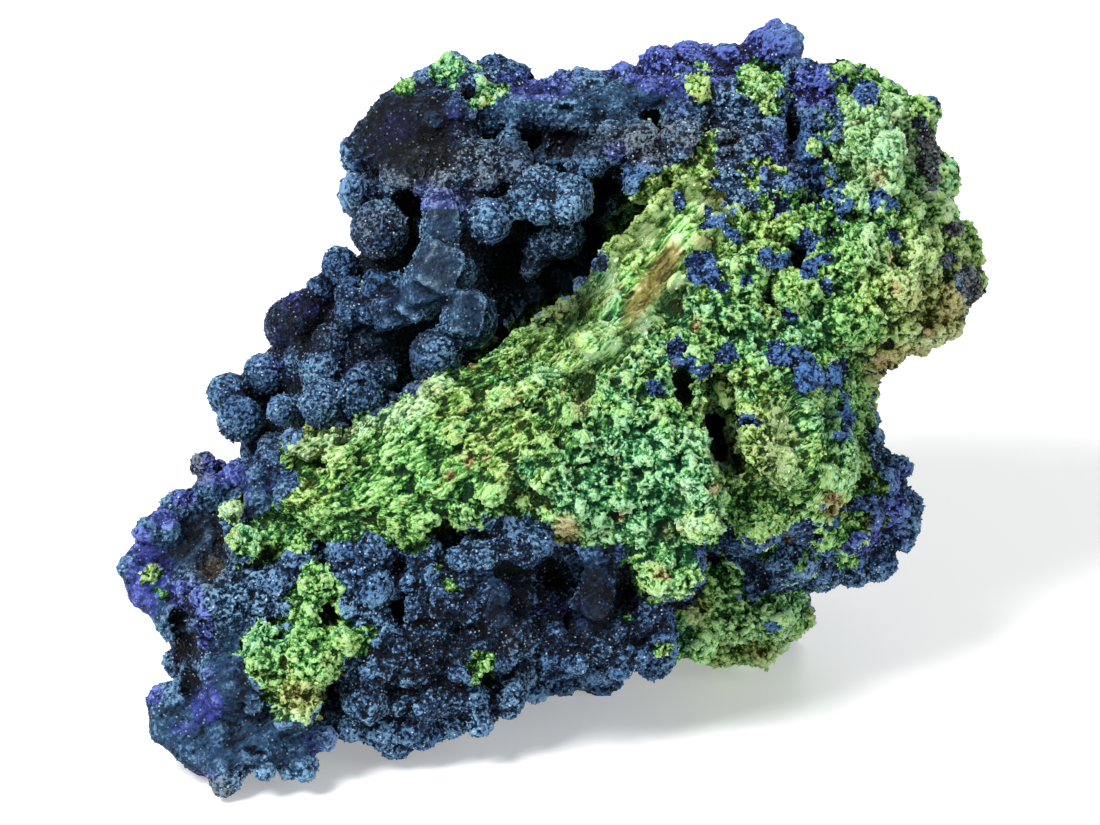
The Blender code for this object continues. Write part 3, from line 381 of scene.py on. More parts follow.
class Noise:
    """Hashed noise on arrays of points in mm, the same every run."""

    @staticmethod
    def hashed(cells, salt):
        """Numbers from 0 to 1, one for each whole-number cell."""
        n = cells[..., 0] * 73856093 ^ cells[..., 1] * 19349663 ^ cells[..., 2] * 83492791
        n = (n ^ salt * 2654435761) & 0xFFFFFFFF
        n = (n ^ (n >> 15)) * 2246822519 & 0xFFFFFFFF
        n = (n ^ (n >> 13)) * 3266489917 & 0xFFFFFFFF
        return ((n ^ (n >> 16)) & 0xFFFFFF) / 0xFFFFFF

    @staticmethod
    def soft(points, span, salt=0, octaves=3):
        """Cloudy noise from about -1 to 1."""
        total = np.zeros(len(points))
        reach = 0.0
        for octave in range(octaves):
            p = points / span * 2**octave + 17.3 * octave
            home = np.floor(p)
            t = p - home
            t = t * t * (3 - 2 * t)
            home = home.astype(np.int64)
            value = np.zeros(len(points))
            for corner in itertools.product((0, 1), repeat=3):
                weight = np.prod(np.where(corner, t, 1 - t), axis=1)
                value += weight * Noise.hashed(home + corner, salt + octave)
            total += (2 * value - 1) * 0.5**octave
            reach += 0.5**octave
        return total / reach * 1.6

    @staticmethod
    def cells(points, span, salt=0):
        """For the nearest scattered seed: distance in spans, gap to the next, number and lean."""
        p = points / span
        home = np.floor(p).astype(np.int64)
        nearest = np.full(len(p), 9.0)
        second = nearest.copy()
        number = np.zeros(len(p))
        away = np.zeros((len(p), 3))
        for step in itertools.product((-1, 0, 1), repeat=3):
            cell = home + step
            offset = np.stack([p[:, k] - cell[:, k] - Noise.hashed(cell, salt + k) for k in range(3)], axis=1)
            distance = (offset**2).sum(axis=1)
            closer = distance < nearest
            second = np.where(closer, nearest, np.minimum(second, distance))
            number[closer] = Noise.hashed(cell[closer], salt + 7)
            away[closer] = offset[closer]
            nearest[closer] = distance[closer]
        lean = (away * (2 * (number[:, None] * (17.0, 31.0, 53.0) % 1) - 1)).sum(axis=1)
        nearest = np.sqrt(nearest)
        return nearest, np.sqrt(second) - nearest, number, lean


def in_shares(work, *arrays):
    """The results of work on all the points, done in shares on several processors."""
    shares = zip(*(np.array_split(array, SHARES) for array in arrays))
    with concurrent.futures.ThreadPoolExecutor(PROCESSORS) as pool:
        results = list(pool.map(lambda share: work(*share), shares))
    if isinstance(results[0], dict):
        return {key: np.concatenate([result[key] for result in results]) for key in results[0]}
    return np.concatenate(results)


def smoothstep(low, high, value):
    """0 at low, 1 at high, and a soft ramp between."""
    t = np.clip((value - low) / (high - low), 0, 1)
    return t * t * (3 - 2 * t)


# --- layout and world ---------------------------------------------------------


def to_world(right, up, near):
    """A layout spot as a world point in mm."""
    draw_in = 1 - near / EYE
    right, up = right * draw_in, up * draw_in
    back = up * math.sin(LEAN) - near * math.cos(LEAN)
    height = up * math.cos(LEAN) + near * math.sin(LEAN)
    return np.array((right, back, height)) + SET_DOWN


def to_layout(points):
    """World points in mm as right, up and near, seen from the eye."""
    p = points - SET_DOWN
    up = p[:, 1] * math.sin(LEAN) + p[:, 2] * math.cos(LEAN)
    near = p[:, 2] * math.sin(LEAN) - p[:, 1] * math.cos(LEAN)
    draw_in = 1 - near / EYE
    return np.stack((p[:, 0] / draw_in, up / draw_in, near), axis=1)


def within(layout, outline):
    """Distance in mm from an outline in the layout, positive inside it."""
    x, y = layout[:, 0], layout[:, 1]
    nearest = np.full(len(layout), 1e9)
    odd = np.zeros(len(layout), bool)
    for (ax, ay), (bx, by) in zip(outline, outline[1:] + outline[:1]):
        ex, ey = bx - ax, by - ay
        t = np.clip(((x - ax) * ex + (y - ay) * ey) / (ex * ex + ey * ey), 0, 1)
        nearest = np.minimum(nearest, np.hypot(x - ax - t * ex, y - ay - t * ey))
        if ay != by:
            odd ^= ((ay > y) != (by > y)) & (x < ex * (y - ay) / ey + ax)
    return np.where(odd, nearest, -nearest)


def within_spots(layout, spots):
    """Distance in mm from the rim of the nearest spot, positive inside it."""
    best = np.full(len(layout), -1e9)
    for x, y, radius in spots:
        best = np.maximum(best, radius - np.hypot(layout[:, 0] - x, layout[:, 1] - y))
    return best


# --- surfaces -----------------------------------------------------------------


def vertex_normals(points, faces):
    across = points[faces[:, 2]] - points[faces[:, 0]]
    along = points[faces[:, 3 % faces.shape[1]]] - points[faces[:, 1]]
    face_normals = np.cross(across, along)
    normals = np.zeros_like(points)
    for corner in range(faces.shape[1]):
        for axis in range(3):
            normals[:, axis] += np.bincount(
                faces[:, corner], weights=face_normals[:, axis], minlength=len(points)
            )
    return normals / np.maximum(np.linalg.norm(normals, axis=1, keepdims=True), 1e-12)


def mesh_of(name, points, faces):
    """A mesh from points in mm and faces that all have the same number of sides."""
    mesh = bpy.data.meshes.new(name)
    mesh.vertices.add(len(points))
    mesh.vertices.foreach_set("co", (points * MM).astype(np.float32).ravel())
    mesh.loops.add(faces.size)
    mesh.loops.foreach_set("vertex_index", faces.astype(np.int32).ravel())
    mesh.polygons.add(len(faces))
    mesh.polygons.foreach_set("loop_start", np.arange(0, faces.size, faces.shape[1], dtype=np.int32))
    mesh.update(calc_edges=True)
    return mesh


def remeshed(mesh, voxel, smooths=0):
    """The mesh's outer skin at an even grain, as an evaluated copy."""
    obj = bpy.data.objects.new("growing", mesh)
    bpy.context.scene.collection.objects.link(obj)
    modifier = obj.modifiers.new("Skin", "REMESH")
    modifier.mode = "VOXEL"
    modifier.voxel_size = voxel * MM
    if smooths:
        soften = obj.modifiers.new("Soften", "SMOOTH")
        soften.factor = 0.6
        soften.iterations = smooths
    graph = bpy.context.evaluated_depsgraph_get()
    result = bpy.data.meshes.new_from_object(obj.evaluated_get(graph))
    bpy.data.objects.remove(obj)
    return result


def arrays_of(mesh):
    points = np.empty(len(mesh.vertices) * 3, np.float32)
    mesh.vertices.foreach_get("co", points)
    corners = np.empty(len(mesh.loops), np.int32)
    mesh.loops.foreach_get("vertex_index", corners)
    return points.reshape(-1, 3).astype(float) / MM, corners.reshape(-1, 4)


def edges_of(faces):
    ends = np.stack((faces, np.roll(faces, -1, axis=1)), axis=2).reshape(-1, 2)
    return np.unique(np.sort(ends, axis=1), axis=0)


def eased(points, edges, rounds):
    """The points after each has moved to the middle of its neighbours, a number of times."""
    size = len(points)
    near_by = np.bincount(edges.ravel(), minlength=size)[:, None]
    for _ in range(rounds):
        total = np.empty_like(points)
        for axis in range(3):
            ahead = np.bincount(edges[:, 0], weights=points[edges[:, 1], axis], minlength=size)
            behind = np.bincount(edges[:, 1], weights=points[edges[:, 0], axis], minlength=size)
            total[:, axis] = ahead + behind
        points = total / near_by
    return points


def subdivided(points, faces):
    """Each four-sided face cut into four."""
    size = len(points)
    ends = np.sort(np.stack((faces, np.roll(faces, -1, axis=1)), axis=2).reshape(-1, 2), axis=1)
    _, first, index = np.unique(ends[:, 0] * size + ends[:, 1], return_index=True, return_inverse=True)
    middles = points[ends[first]].mean(axis=1)
    centres = points[faces].mean(axis=1)
    edge = index.reshape(-1, 4) + size
    centre = np.arange(len(faces)) + size + len(first)
    quads = [np.stack((faces[:, k], edge[:, k], centre, edge[:, k - 1]), axis=1) for k in range(4)]
    return np.concatenate((points, middles, centres)), np.concatenate(quads)


def only_used(points, faces):
    used, index = np.unique(faces, return_inverse=True)
    return points[used], index.reshape(faces.shape)


def largest_island(points, faces):
    """The connected surface with the most points, without loose specks."""
    ends = edges_of(faces)
    ends = np.concatenate((ends, ends[:, ::-1]))
    ends = ends[np.argsort(ends[:, 0], kind="stable")]
    starts = np.searchsorted(ends[:, 0], np.arange(len(points)))
    label = np.arange(len(points))
    while True:
        lowest = np.minimum(label, np.minimum.reduceat(label[ends[:, 1]], starts))
        lowest = lowest[lowest]
        if (lowest == label).all():
            break
        label = lowest
    biggest = np.bincount(label).argmax()
    return only_used(points, faces[label[faces[:, 0]] == biggest])


def resting_forms(points):
    """The knobs and lobes in the lists, each sunk in the nearest surface at its spot: places and axes."""
    layout = to_layout(points)
    forms = [(right, up, radius, radius, radius, KNOB_SINK) for right, up, radius in KNOBS]
    forms += [(right, up, wide, high, min(wide, high), LOBE_SINK) for right, up, wide, high in LOBES]
    places = []
    axes = []
    for right, up, wide, high, deep, sink in forms:
        here = np.hypot(layout[:, 0] - right, layout[:, 1] - up) < SPOT_REACH
        if here.any():
            places.append(to_world(right, up, layout[here, 2].max() - sink * deep))
            axes.append(AXES * np.array((wide, high, deep))[:, None])
    return np.array(places), np.array(axes)


def scattered_knobs(points, normals, looks):
    """Small balls standing on the azurite and lobes on the malachite: places, radii."""
    random = np.random.default_rng(5)
    layout = to_layout(points)
    blue = 1 - looks["green"]
    back = smoothstep(0, REAR, layout[:, 2])
    chance = blue * (1 - share_of(layout, "cluster")) * KNOB_DENSITY
    chance += (1 - blue) * (0.9 * share_of(layout, "lobed") + 0.15) * KNOB_DENSITY
    chance *= (1 - 0.35 * back) * (1 - looks["calm"]) * (1 - 0.9 * looks["skin"])
    chosen = random.random(len(points)) < chance
    radii = (0.7 + 1.0 * random.random(chosen.sum()) ** 1.6) * (1 + 0.5 * back[chosen])
    return points[chosen] - normals[chosen] * (0.45 * radii)[:, None], radii


def grown_skin():
    """The solid, softened, with the balls and knobs grown on it: points in mm and four-sided faces."""
    solid = bmesh.new()
    solid.from_mesh(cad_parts[NODE].data)
    bmesh.ops.remove_doubles(solid, verts=solid.verts, dist=1e-6)
    body = bpy.data.meshes.new("body")
    solid.to_mesh(body)
    solid.free()
    points, faces = arrays_of(remeshed(body, BODY_VOXEL, smooths=5))
    normals = vertex_normals(points, faces)
    looks = in_shares(zones, points, normals)
    layout = to_layout(points)
    cluster = share_of(layout, "cluster") * smoothstep(-12, -6, layout[:, 2])
    knobs, radii = scattered_knobs(points, normals, looks)
    places, axes = resting_forms(points)
    points = points - normals * ((1 - looks["green"]) * (0.3 + 1.2 * cluster))[:, None]
    corners = faces[:, (0, 1, 2, 0, 2, 3)].reshape(-1, 3)
    parts = [(points, corners)]
    spots = np.array([(*to_world(*place), radius) for *place, radius in BALLS + BACKING])
    parts.append(copies(ball(4), spots[:, :3], np.tile(np.eye(3), (len(spots), 1, 1)), spots[:, 3]))
    parts.append(copies(ball(2), knobs, np.tile(np.eye(3), (len(knobs), 1, 1)), radii))
    parts.append(copies(ball(4), places, axes, np.ones(len(places))))
    for right, up, near, wide, high, deep, turn in BLOCKS:
        across = Matrix.Rotation(math.radians(turn), 3, "Z") @ Matrix.Rotation(BLOCK_TILT, 3, "Y")
        axes = np.array(across.transposed()) @ AXES * np.array((wide, high, deep))[:, None]
        parts.append(copies(block(), np.array([to_world(right, up, near)]), axes[None], np.ones(1)))
    starts = np.cumsum([0] + [len(part) for part, _ in parts])
    triangles = np.concatenate([part + start for (_, part), start in zip(parts, starts)])
    grown = mesh_of("grown", np.concatenate([part for part, _ in parts]), triangles)
    return largest_island(*arrays_of(remeshed(grown, SKIN_VOXEL)))


def zones(points, normals):
    """How much of each look every point has, from 0 to 1."""
    layout = to_layout(points)
    tints = {name: within_soft(layout, spots) for name, spots in SPOTS.items()}
    ragged = 0.9 * Noise.soft(points, 2.4, 1) + 0.5 * Noise.soft(points, 0.9, 2)
    green = np.full(len(points), -1e9)
    for outline in GREEN_OUTLINES:
        green = np.maximum(green, within(layout, outline))
    green = np.maximum(green, within_spots(layout, GREEN_SPOTS))
    blue = np.maximum(within_spots(layout, BLUE_SPOTS), within_spots(layout, TRAIL)) - 0.12
    mixed = np.clip(tints["mixed"], 0, 1)
    patchy = 1.6 * Noise.soft(points, 1.6, 3) - 0.05
    rock = within_spots(layout, ROCK) + 0.5 * ragged
    front = np.minimum(np.minimum(green + ragged, -(blue + 0.8 * ragged)), -rock)
    front = front * (1 - mixed) + patchy * mixed
    toward_eye = -normals[:, 1] * math.cos(LEAN) + normals[:, 2] * math.sin(LEAN)
    hidden = smoothstep(0.0, -0.25, toward_eye) * smoothstep(6, 0, layout[:, 2])
    shown = 1 - hidden
    recess = np.clip(tints["dim"], 0, 1)
    patches = 6 * (Noise.soft(points, 15, 5) + 0.25 * Noise.soft(points, 4, 6) - 0.25 - 0.8 * recess)
    mask = front * shown + patches * hidden
    rust = within_spots(layout, RUST) + 0.6 * ragged
    # painted shade: the listed recesses, the holes and the gaps between the balls are darkened through dim
    # and shade
    gap = smoothstep(0.2, 0.8, from_balls(points, layout)) * np.clip(tints["cluster"], 0, 1) * shown
    dim = np.maximum(tints["dim"], 0.8 * within_holes(layout)[0]) * shown
    dim = np.maximum(dim, gap * smoothstep(0, -0.5, front))
    # painted shade from the listed spots and the gaps, and darker tone at random
    shade = (tints["shade"] + 0.7 * gap) * shown + 0.3 * Noise.soft(points, 6, 26)
    looks = {
        "green": smoothstep(-0.25, 0.25, mask),
        "grey": np.clip(tints["grey"] + smoothstep(-0.4, 0.2, rock), 0, 1),
        "dim": np.clip(dim, 0, 1),
        "rust": smoothstep(-0.1, 0.5, rust) * shown,
        "bright": smoothstep(-0.6, 0.4, blue + 0.8 * ragged) * shown,
        "shade": np.clip(shade, 0, 1),
        "shown": shown,
    }
    for name, (level, *clouds) in CLOUDED.items():
        for strength, span, salt in clouds:
            level = level + strength * Noise.soft(points, span, salt)
        looks[name] = np.clip(level + tints[name], 0, 1)
    for name in FRONT_ONLY:
        looks[name] = np.clip(tints[name], 0, 1) * shown
    return looks


def from_balls(points, layout):
    """How far in mm each point lies off the nearest ball, blunt crystal or knob."""
    nearest = -within_spots(layout, KNOBS)
    forms = BALLS + tuple((right, up, near, max(sizes)) for right, up, near, *sizes, _ in BLOCKS)
    for right, up, near, radius in forms:
        off = np.linalg.norm(points - to_world(right, up, near), axis=1) - radius
        nearest = np.minimum(nearest, off)
    return nearest


def within_holes(layout):
    """How deep in the holes each point is, from 0 to 1, and how far in mm its hole goes in."""
    deep = np.zeros(len(layout))
    depth = np.zeros(len(layout))
    for x, y, half_width, half_height, deepest in HOLES:
        reach = np.hypot((layout[:, 0] - x) / half_width, (layout[:, 1] - y) / half_height)
        share = smoothstep(1.15, 0.2, reach)
        deep = np.maximum(deep, share)
        depth = np.maximum(depth, share * deepest)
    return deep, depth


def within_soft(layout, spots):
    """Strength of the broad tints at each point: right, up, half width, half height, strength."""
    total = np.zeros(len(layout))
    for x, y, half_width, half_height, strength in spots:
        reach = np.hypot((layout[:, 0] - x) / half_width, (layout[:, 1] - y) / half_height)
        total += strength * smoothstep(1.4, 0.5, reach)
    return total


def share_of(layout, name):
    """One of the broad tints at each point, from 0 to 1."""
    return np.clip(within_soft(layout, SPOTS[name]), 0, 1)



# --- materials ----------------------------------------------------------------


class Value:
    """A socket in a material's maths, so that sums are written as sums."""

    def __init__(self, material, socket):
        self.material = material
        self.socket = socket

    def maths(self, operation, first, second):
        return self.material.node("Math", {"operation": operation}, first, second)

    def __add__(self, other):
        return self.maths("ADD", self, other)

    def __radd__(self, other):
        return self.maths("ADD", other, self)

    def __sub__(self, other):
        return self.maths("SUBTRACT", self, other)

    def __rsub__(self, other):
        return self.maths("SUBTRACT", other, self)

    def __mul__(self, other):
        return self.maths("MULTIPLY", self, other)

    def __rmul__(self, other):
        return self.maths("MULTIPLY", other, self)

    def larger(self, other):
        return self.maths("MAXIMUM", self, other)

    def over(self, low, high):
        """0 below low, 1 above high, and a soft ramp between."""
        settings = {"interpolation_type": "SMOOTHSTEP"}
        return self.material.node("MapRange", settings, self, low, high, 0.0, 1.0)


class Material:
    """A Principled material that is written as maths."""

    def __init__(self, name, **fixed):
        self.made = bpy.data.materials.new(name)
        self.made.use_nodes = True
        self.tree = self.made.node_tree
        self.surface = self.tree.nodes["Principled BSDF"]
        for socket, value in fixed.items():
            self.surface.inputs[socket.replace("_", " ")].default_value = value
        self.place = self.node("TexCoord", {}, output="Object")

    def node(self, kind, settings, *inputs, output=0):
        made = self.tree.nodes.new("ShaderNode" + kind)
        for name, value in settings.items():
            setattr(made, name, value)
        open_sockets = [socket for socket in made.inputs if socket.enabled]
        for socket, value in zip(open_sockets, inputs):
            self.feed(socket, value)
        outputs = [socket for socket in made.outputs if socket.enabled]
        return Value(self, made.outputs[output] if isinstance(output, str) else outputs[output])

    def feed(self, socket, value):
        if isinstance(value, Value):
            self.tree.links.new(value.socket, socket)
        elif value is not None:
            socket.default_value = value

    def field(self, name):
        return self.node("Attribute", {"attribute_name": name}, output="Fac")

    def cloud(self, size, detail, place=None):
        """Noise whose features are about size mm across."""
        return self.node("TexNoise", {}, place or self.place, 1 / (size * MM), detail, 0.6)

    def grains(self, size, place=None, output="Distance"):
        """Cells that are about size mm across."""
        return self.node("TexVoronoi", {}, place or self.place, 1 / (size * MM), output=output)

    def numbers(self, size, place=None):
        """Three random numbers from 0 to 1 for each of these cells."""
        split = self.node("SeparateColor", {}, self.grains(size, place, output="Color"))
        return (Value(self, socket) for socket in split.socket.node.outputs)

    def mix(self, share, first, second):
        return self.node("Mix", {"data_type": "RGBA"}, share, colour(first), colour(second))

    def ramp(self, level, low, middle, high):
        """From low through middle to high as the level goes from 0 to 1."""
        lower = self.mix(level.over(0.0, 0.42), low, middle)
        return self.mix(level.over(0.38, 0.95), lower, high)

    def vector(self, operation, *inputs):
        return self.node("VectorMath", {"operation": operation}, *inputs)

    def drawn(self, place, way, share):
        """The place squeezed along one way, so that marks there are drawn out along it."""
        way = tuple(float(part) for part in way)
        along = self.vector("DOT_PRODUCT", place, way)
        squeeze = self.node("CombineXYZ", {}, *(along * share * part for part in way))
        return self.vector("SUBTRACT", place, squeeze)

    def bump(self, height, distance, strength):
        bumped = self.node("Bump", {}, strength, distance * MM)
        self.feed(bumped.socket.node.inputs["Height"], height)
        return bumped

    def finish(self, **driven):
        for socket, value in driven.items():
            self.feed(self.surface.inputs[socket.replace("_", " ")], value)
        return self.made


def colour(value):
    return (*value, 1.0) if isinstance(value, tuple) else value


def malachite():
    m = Material("malachite_crust", Roughness=0.7, IOR=1.45, Specular_IOR_Level=0.25)
    crest = m.field("crest")
    place = m.drawn(m.drawn(m.place, STREAK, m.field("streak") * 0.88), SLOPE, m.field("slope") * 0.6)
    stray_by = 0.6 * MM
    shift = m.node("TexNoise", {}, m.place, 1 / stray_by, 2.0, 0.5, output="Color")
    place = m.vector("MULTIPLY_ADD", shift, (stray_by, stray_by, stray_by), place)
    fine = m.cloud(0.25, 4, place)
    broad = m.cloud(3.0, 3)
    hue = m.cloud(1.2, 3, place)
    nub = 1 - m.grains(0.4, place).over(0.1, 0.6)
    number, tint, kind = m.numbers(0.4, place)
    height = (nub * 0.45 + fine * 1.1 + number * 0.45) * (1 - 0.5 * m.field("calm"))
    # the level is lighter on crests and darker in creases: painted highlight and painted shade
    level = crest * 1.25 + height * 1.25 + broad * 0.5 - 1.49
    # lighter on pale, creamy parts and on painted highlights; darker where painted shade lies
    level = level + m.field("pale_and_highlight") * 0.22 - m.field("shade") * 0.3
    level = level + m.field("calm") * 0.12 + m.field("streak") * 0.27
    tone = m.ramp(level, (0.003, 0.03, 0.008), (0.06, 0.27, 0.045), (0.42, 0.78, 0.25))
    cool = m.ramp(level, (0.002, 0.04, 0.018), (0.035, 0.27, 0.085), (0.42, 0.82, 0.44))
    tone = m.mix((m.field("mint") + hue * 2.6 + tint * 0.5 - 1.85).over(0.0, 0.8), tone, cool)
    dry = m.ramp(level, (0.012, 0.03, 0.004), (0.13, 0.28, 0.035), (0.56, 0.78, 0.26))
    tone = m.mix((m.field("warm") - hue * 2.2 + tint * 0.5 + 0.65).over(0.0, 0.8), tone, dry)
    cream = m.ramp(level, (0.04, 0.12, 0.05), (0.3, 0.5, 0.24), (0.8, 0.92, 0.7))
    tone = m.mix(m.field("pale_and_highlight") * 0.5, tone, cream)
    # near white where the level is highest: painted highlight
    tone = m.mix(level.over(0.95, 1.5) * 0.6, tone, (0.74, 0.94, 0.66))
    earth = m.ramp(level, (0.05, 0.035, 0.006), (0.24, 0.18, 0.045), (0.6, 0.5, 0.24))
    stray = (kind + m.field("warm") * 0.05).over(0.965, 0.995) * 0.6
    tone = m.mix((m.field("tan") * 0.85).larger(stray), tone, earth)
    rusty = m.ramp(level, (0.03, 0.01, 0.003), (0.22, 0.09, 0.03), (0.55, 0.36, 0.2))
    tone = m.mix(m.field("rust") * 0.7, tone, rusty)
    # near black in recesses and holes: painted shade
    tone = m.mix(m.field("dim") * 0.8, tone, (0.001, 0.006, 0.003))
    return m.finish(Base_Color=tone, Normal=m.bump(height, 0.3, 0.9))


def azurite():
    m = Material("azurite_druse", IOR=1.5, Specular_IOR_Level=0.2)
    crest = m.field("crest")
    fine = m.cloud(0.3, 5)
    broad = m.cloud(2.6, 3)
    hue = m.cloud(1.2, 3)
    grit = m.grains(0.3)
    number, tint, kind = m.numbers(0.3)
    bands = m.cloud(0.9, 4, m.drawn(m.place, SLOPE, 0.75))
    # the level is lighter on crests and darker in creases: painted highlight and painted shade
    rough_level = crest * 1.1 + fine * 2.3 + broad * 0.7 + number * 0.75 - 2.4
    smooth_level = crest * 0.7 + fine * 0.6 + bands * 1.3 - 1.34
    skin = m.field("skin")
    # darker where painted shade lies
    level = rough_level * (1 - skin) + smooth_level * skin + 0.4 - m.field("shade") * 0.42
    deep = m.ramp(level, (0.0006, 0.0012, 0.005), (0.004, 0.019, 0.06), (0.06, 0.15, 0.32))
    dusty = m.ramp(level, (0.001, 0.003, 0.009), (0.013, 0.048, 0.11), (0.19, 0.36, 0.55))
    dustiness = m.field("dusty") + skin * 0.3 + hue * 1.6 + tint * 0.4 - 1.0
    tone = m.mix(dustiness.over(0.0, 1.0), deep, dusty)
    vivid = m.ramp(level, (0.002, 0.002, 0.018), (0.016, 0.016, 0.16), (0.13, 0.15, 0.62))
    tone = m.mix(m.field("violet").over(0.35, 0.9) * fine.over(0.35, 0.6) * 0.9, tone, vivid)
    clear = m.ramp(level, (0.0008, 0.002, 0.01), (0.005, 0.022, 0.088), (0.08, 0.2, 0.44))
    tone = m.mix(m.field("bright"), tone, clear)
    ash = m.ramp(level, (0.0015, 0.002, 0.003), (0.018, 0.023, 0.028), (0.19, 0.21, 0.21))
    tone = m.mix(m.field("grey") * broad.over(0.3, 0.5), tone, ash)
    rusty = m.ramp(level, (0.006, 0.004, 0.003), (0.07, 0.05, 0.03), (0.22, 0.16, 0.1))
    tone = m.mix(m.field("rust") * 0.8, tone, rusty)
    vivid_skin = m.ramp(level, (0.005, 0.006, 0.04), (0.035, 0.05, 0.28), (0.2, 0.26, 0.66))
    tone = m.mix(m.field("violet").over(0.3, 0.8) * skin * bands.over(0.38, 0.55), tone, vivid_skin)
    # painted glints: pale blue flecks in the base colour
    glint = kind.over(0.81, 0.975) * grit.over(0.42, 0.2)
    glint = glint * (1 - 0.75 * skin) * (1 - 0.4 * m.field("shade"))
    tone = m.mix(glint * 0.9, tone, (0.65, 0.78, 0.96))
    # near black in recesses, holes and gaps between the balls: painted shade
    tone = m.mix(m.field("dim") * 0.7, tone, (0.0008, 0.001, 0.003))
    rough = 0.75 - 0.5 * number.over(0.6, 0.95)
    return m.finish(Base_Color=tone, Roughness=rough, Normal=m.bump(fine + number * 0.5, 0.2, 0.9))


def caps(distance):
    """Round tops with creases between them, from a distance in spans."""
    return 1 - np.minimum(distance / 0.75, 1.2) ** 2


def coarse_rise(points, green, calm, skin):
    """How far the larger forms stand out, in mm."""
    layout = to_layout(points)
    cluster = share_of(layout, "cluster")
    swell = Noise.soft(points, 4.0, 15)
    lobes = caps(Noise.cells(points, 2.3, 11)[0])
    knobs = caps(Noise.cells(points, 1.9, 13)[0])
    masses = caps(Noise.cells(points, 5.4, 17)[0])
    fibrous = within_soft(layout, SPOTS["slope"]) + within_soft(layout, SPOTS["streak"])
    apart = 1 - np.clip(fibrous, 0, 1)
    on_green = 0.3 * swell + 0.75 * (lobes - 0.5) + 1.1 * (masses - 0.6) * apart
    on_blue = 0.12 * swell + 0.35 * knobs * (1 - cluster) * (1 - 0.8 * skin)
    return (green * on_green + (1 - green) * on_blue) * (1 - calm)


def crumbs(points):
    """Small crumbly relief like popcorn, with pits, about -0.5 to 0.5."""
    warped = points + 0.3 * np.stack([Noise.soft(points, 0.9, 50 + k, 1) for k in range(3)], axis=1)
    near, gap, tall, lean = Noise.cells(warped, 1.0, 31)
    close, _, high, tilt = Noise.cells(warped, 0.5, 32)
    lacy = smoothstep(0.0, 0.25, Noise.soft(points, 2.2, 33))
    walls = smoothstep(0.3, 0.02, gap) - 0.35
    grains = 0.7 * (caps(near) - 0.6) + 0.35 * (tall - 0.5)
    pits = smoothstep(0.16, 0.08, tall)
    relief = grains * (1 - lacy) + walls * lacy * 0.8
    relief = relief + 0.45 * (caps(close) - 0.6) + 0.15 * lean
    return relief + 0.3 * (high - 0.5) + 0.2 * tilt - 0.55 * pits


def fine_rise(points, green, streak, slope, calm, skin):
    """How far the moss, fibres and crystals stand out, in mm."""
    rise = np.zeros(len(points))
    mossy = green > 0
    moss_points = points[mossy]
    moss = crumbs(moss_points)
    for share, way, stretch in ((streak[mossy], STREAK, 0.82), (slope[mossy], SLOPE, 0.6)):
        chosen = share > 0.01
        drawn = moss_points[chosen] - np.outer(moss_points[chosen] @ way, way) * stretch
        moss[chosen] += share[chosen] * (crumbs(1.3 * drawn) - moss[chosen])
    rise[mossy] += green[mossy] * moss * (0.48 - 0.22 * streak[mossy] - 0.08 * slope[mossy])
    bare = green < 1
    _, _, tall, lean = Noise.cells(points[bare], 0.7, 41)
    _, _, high, tilt = Noise.cells(points[bare], 0.4, 42)
    druse = 0.14 * (tall - 0.5) + 0.2 * lean + 0.1 * (high - 0.5) + 0.18 * tilt
    round_ones = share_of(to_layout(points[bare]), "cluster")
    rise[bare] += (1 - green[bare]) * druse * (1 - 0.6 * skin[bare]) * (1 - 0.45 * round_ones)
    return rise * (1 - 0.85 * calm)


def dressed(points, faces):
    """The surface with its fine relief and its looks at every point."""
    normals = vertex_normals(points, faces)
    looks = in_shares(zones, points, normals)
    points = points + normals * in_shares(fine_rise, points, *(looks[key] for key in RELIEF))[:, None]
    points[:, 2] = np.maximum(points[:, 2], 0)
    normals = vertex_normals(points, faces)
    edges = edges_of(faces)
    near_by = eased(points, edges, 5)
    around = eased(near_by, edges, 18)
    small = ((points - near_by) * normals).sum(axis=1)
    large = ((near_by - around) * normals).sum(axis=1)
    # how far each point stands out from its surroundings: crests lighter as painted highlight, creases darker
    # as painted shade
    looks["crest"] = np.clip(0.45 + 2.8 * small + 1.2 * large, 0, 1)
    return {"points": points, "faces": faces, "normals": normals, "fields": looks}


def added(name, data):
    """A new object with this data, in the scene."""
    obj = bpy.data.objects.new(name, data)
    bpy.context.scene.collection.objects.link(obj)
    return obj


def add_piece(name, points, faces, material, fields, smooth):
    """A piece of the specimen from arrays, with its looks as attributes."""
    mesh = mesh_of(name, points, faces)
    mesh.polygons.foreach_set("use_smooth", np.full(len(faces), smooth))
    for field in LOOKS[material.name]:
        layer = mesh.attributes.new(field, "FLOAT", "POINT")
        layer.data.foreach_set("value", fields[field].astype(np.float32))
    mesh.materials.append(material)
    obj = added(name, mesh)
    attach(obj, "root")
    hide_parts(NODE)


def add_skin(name, skin, chosen, material, smooth):
    """The chosen faces of the surface, in as many pieces as their number needs."""
    faces = skin["faces"][chosen]
    order = np.argsort(skin["points"][faces[:, 0], 0])
    pieces = 1 + 2 * len(faces) // MOST_TRIANGLES
    for number, share in enumerate(np.array_split(order, pieces), 1):
        used, index = np.unique(faces[share], return_inverse=True)
        fields = {field: values[used] for field, values in skin["fields"].items()}
        quads = index.reshape(-1, 4)
        add_piece(f"{name}_{number}", skin["points"][used], quads, material, fields, smooth)


def form_of(mesh):
    """The points and triangles of a mesh in the making, which is freed."""
    points = np.array([v.co for v in mesh.verts])
    faces = np.array([[v.index for v in f.verts] for f in mesh.faces])
    mesh.free()
    return points, faces


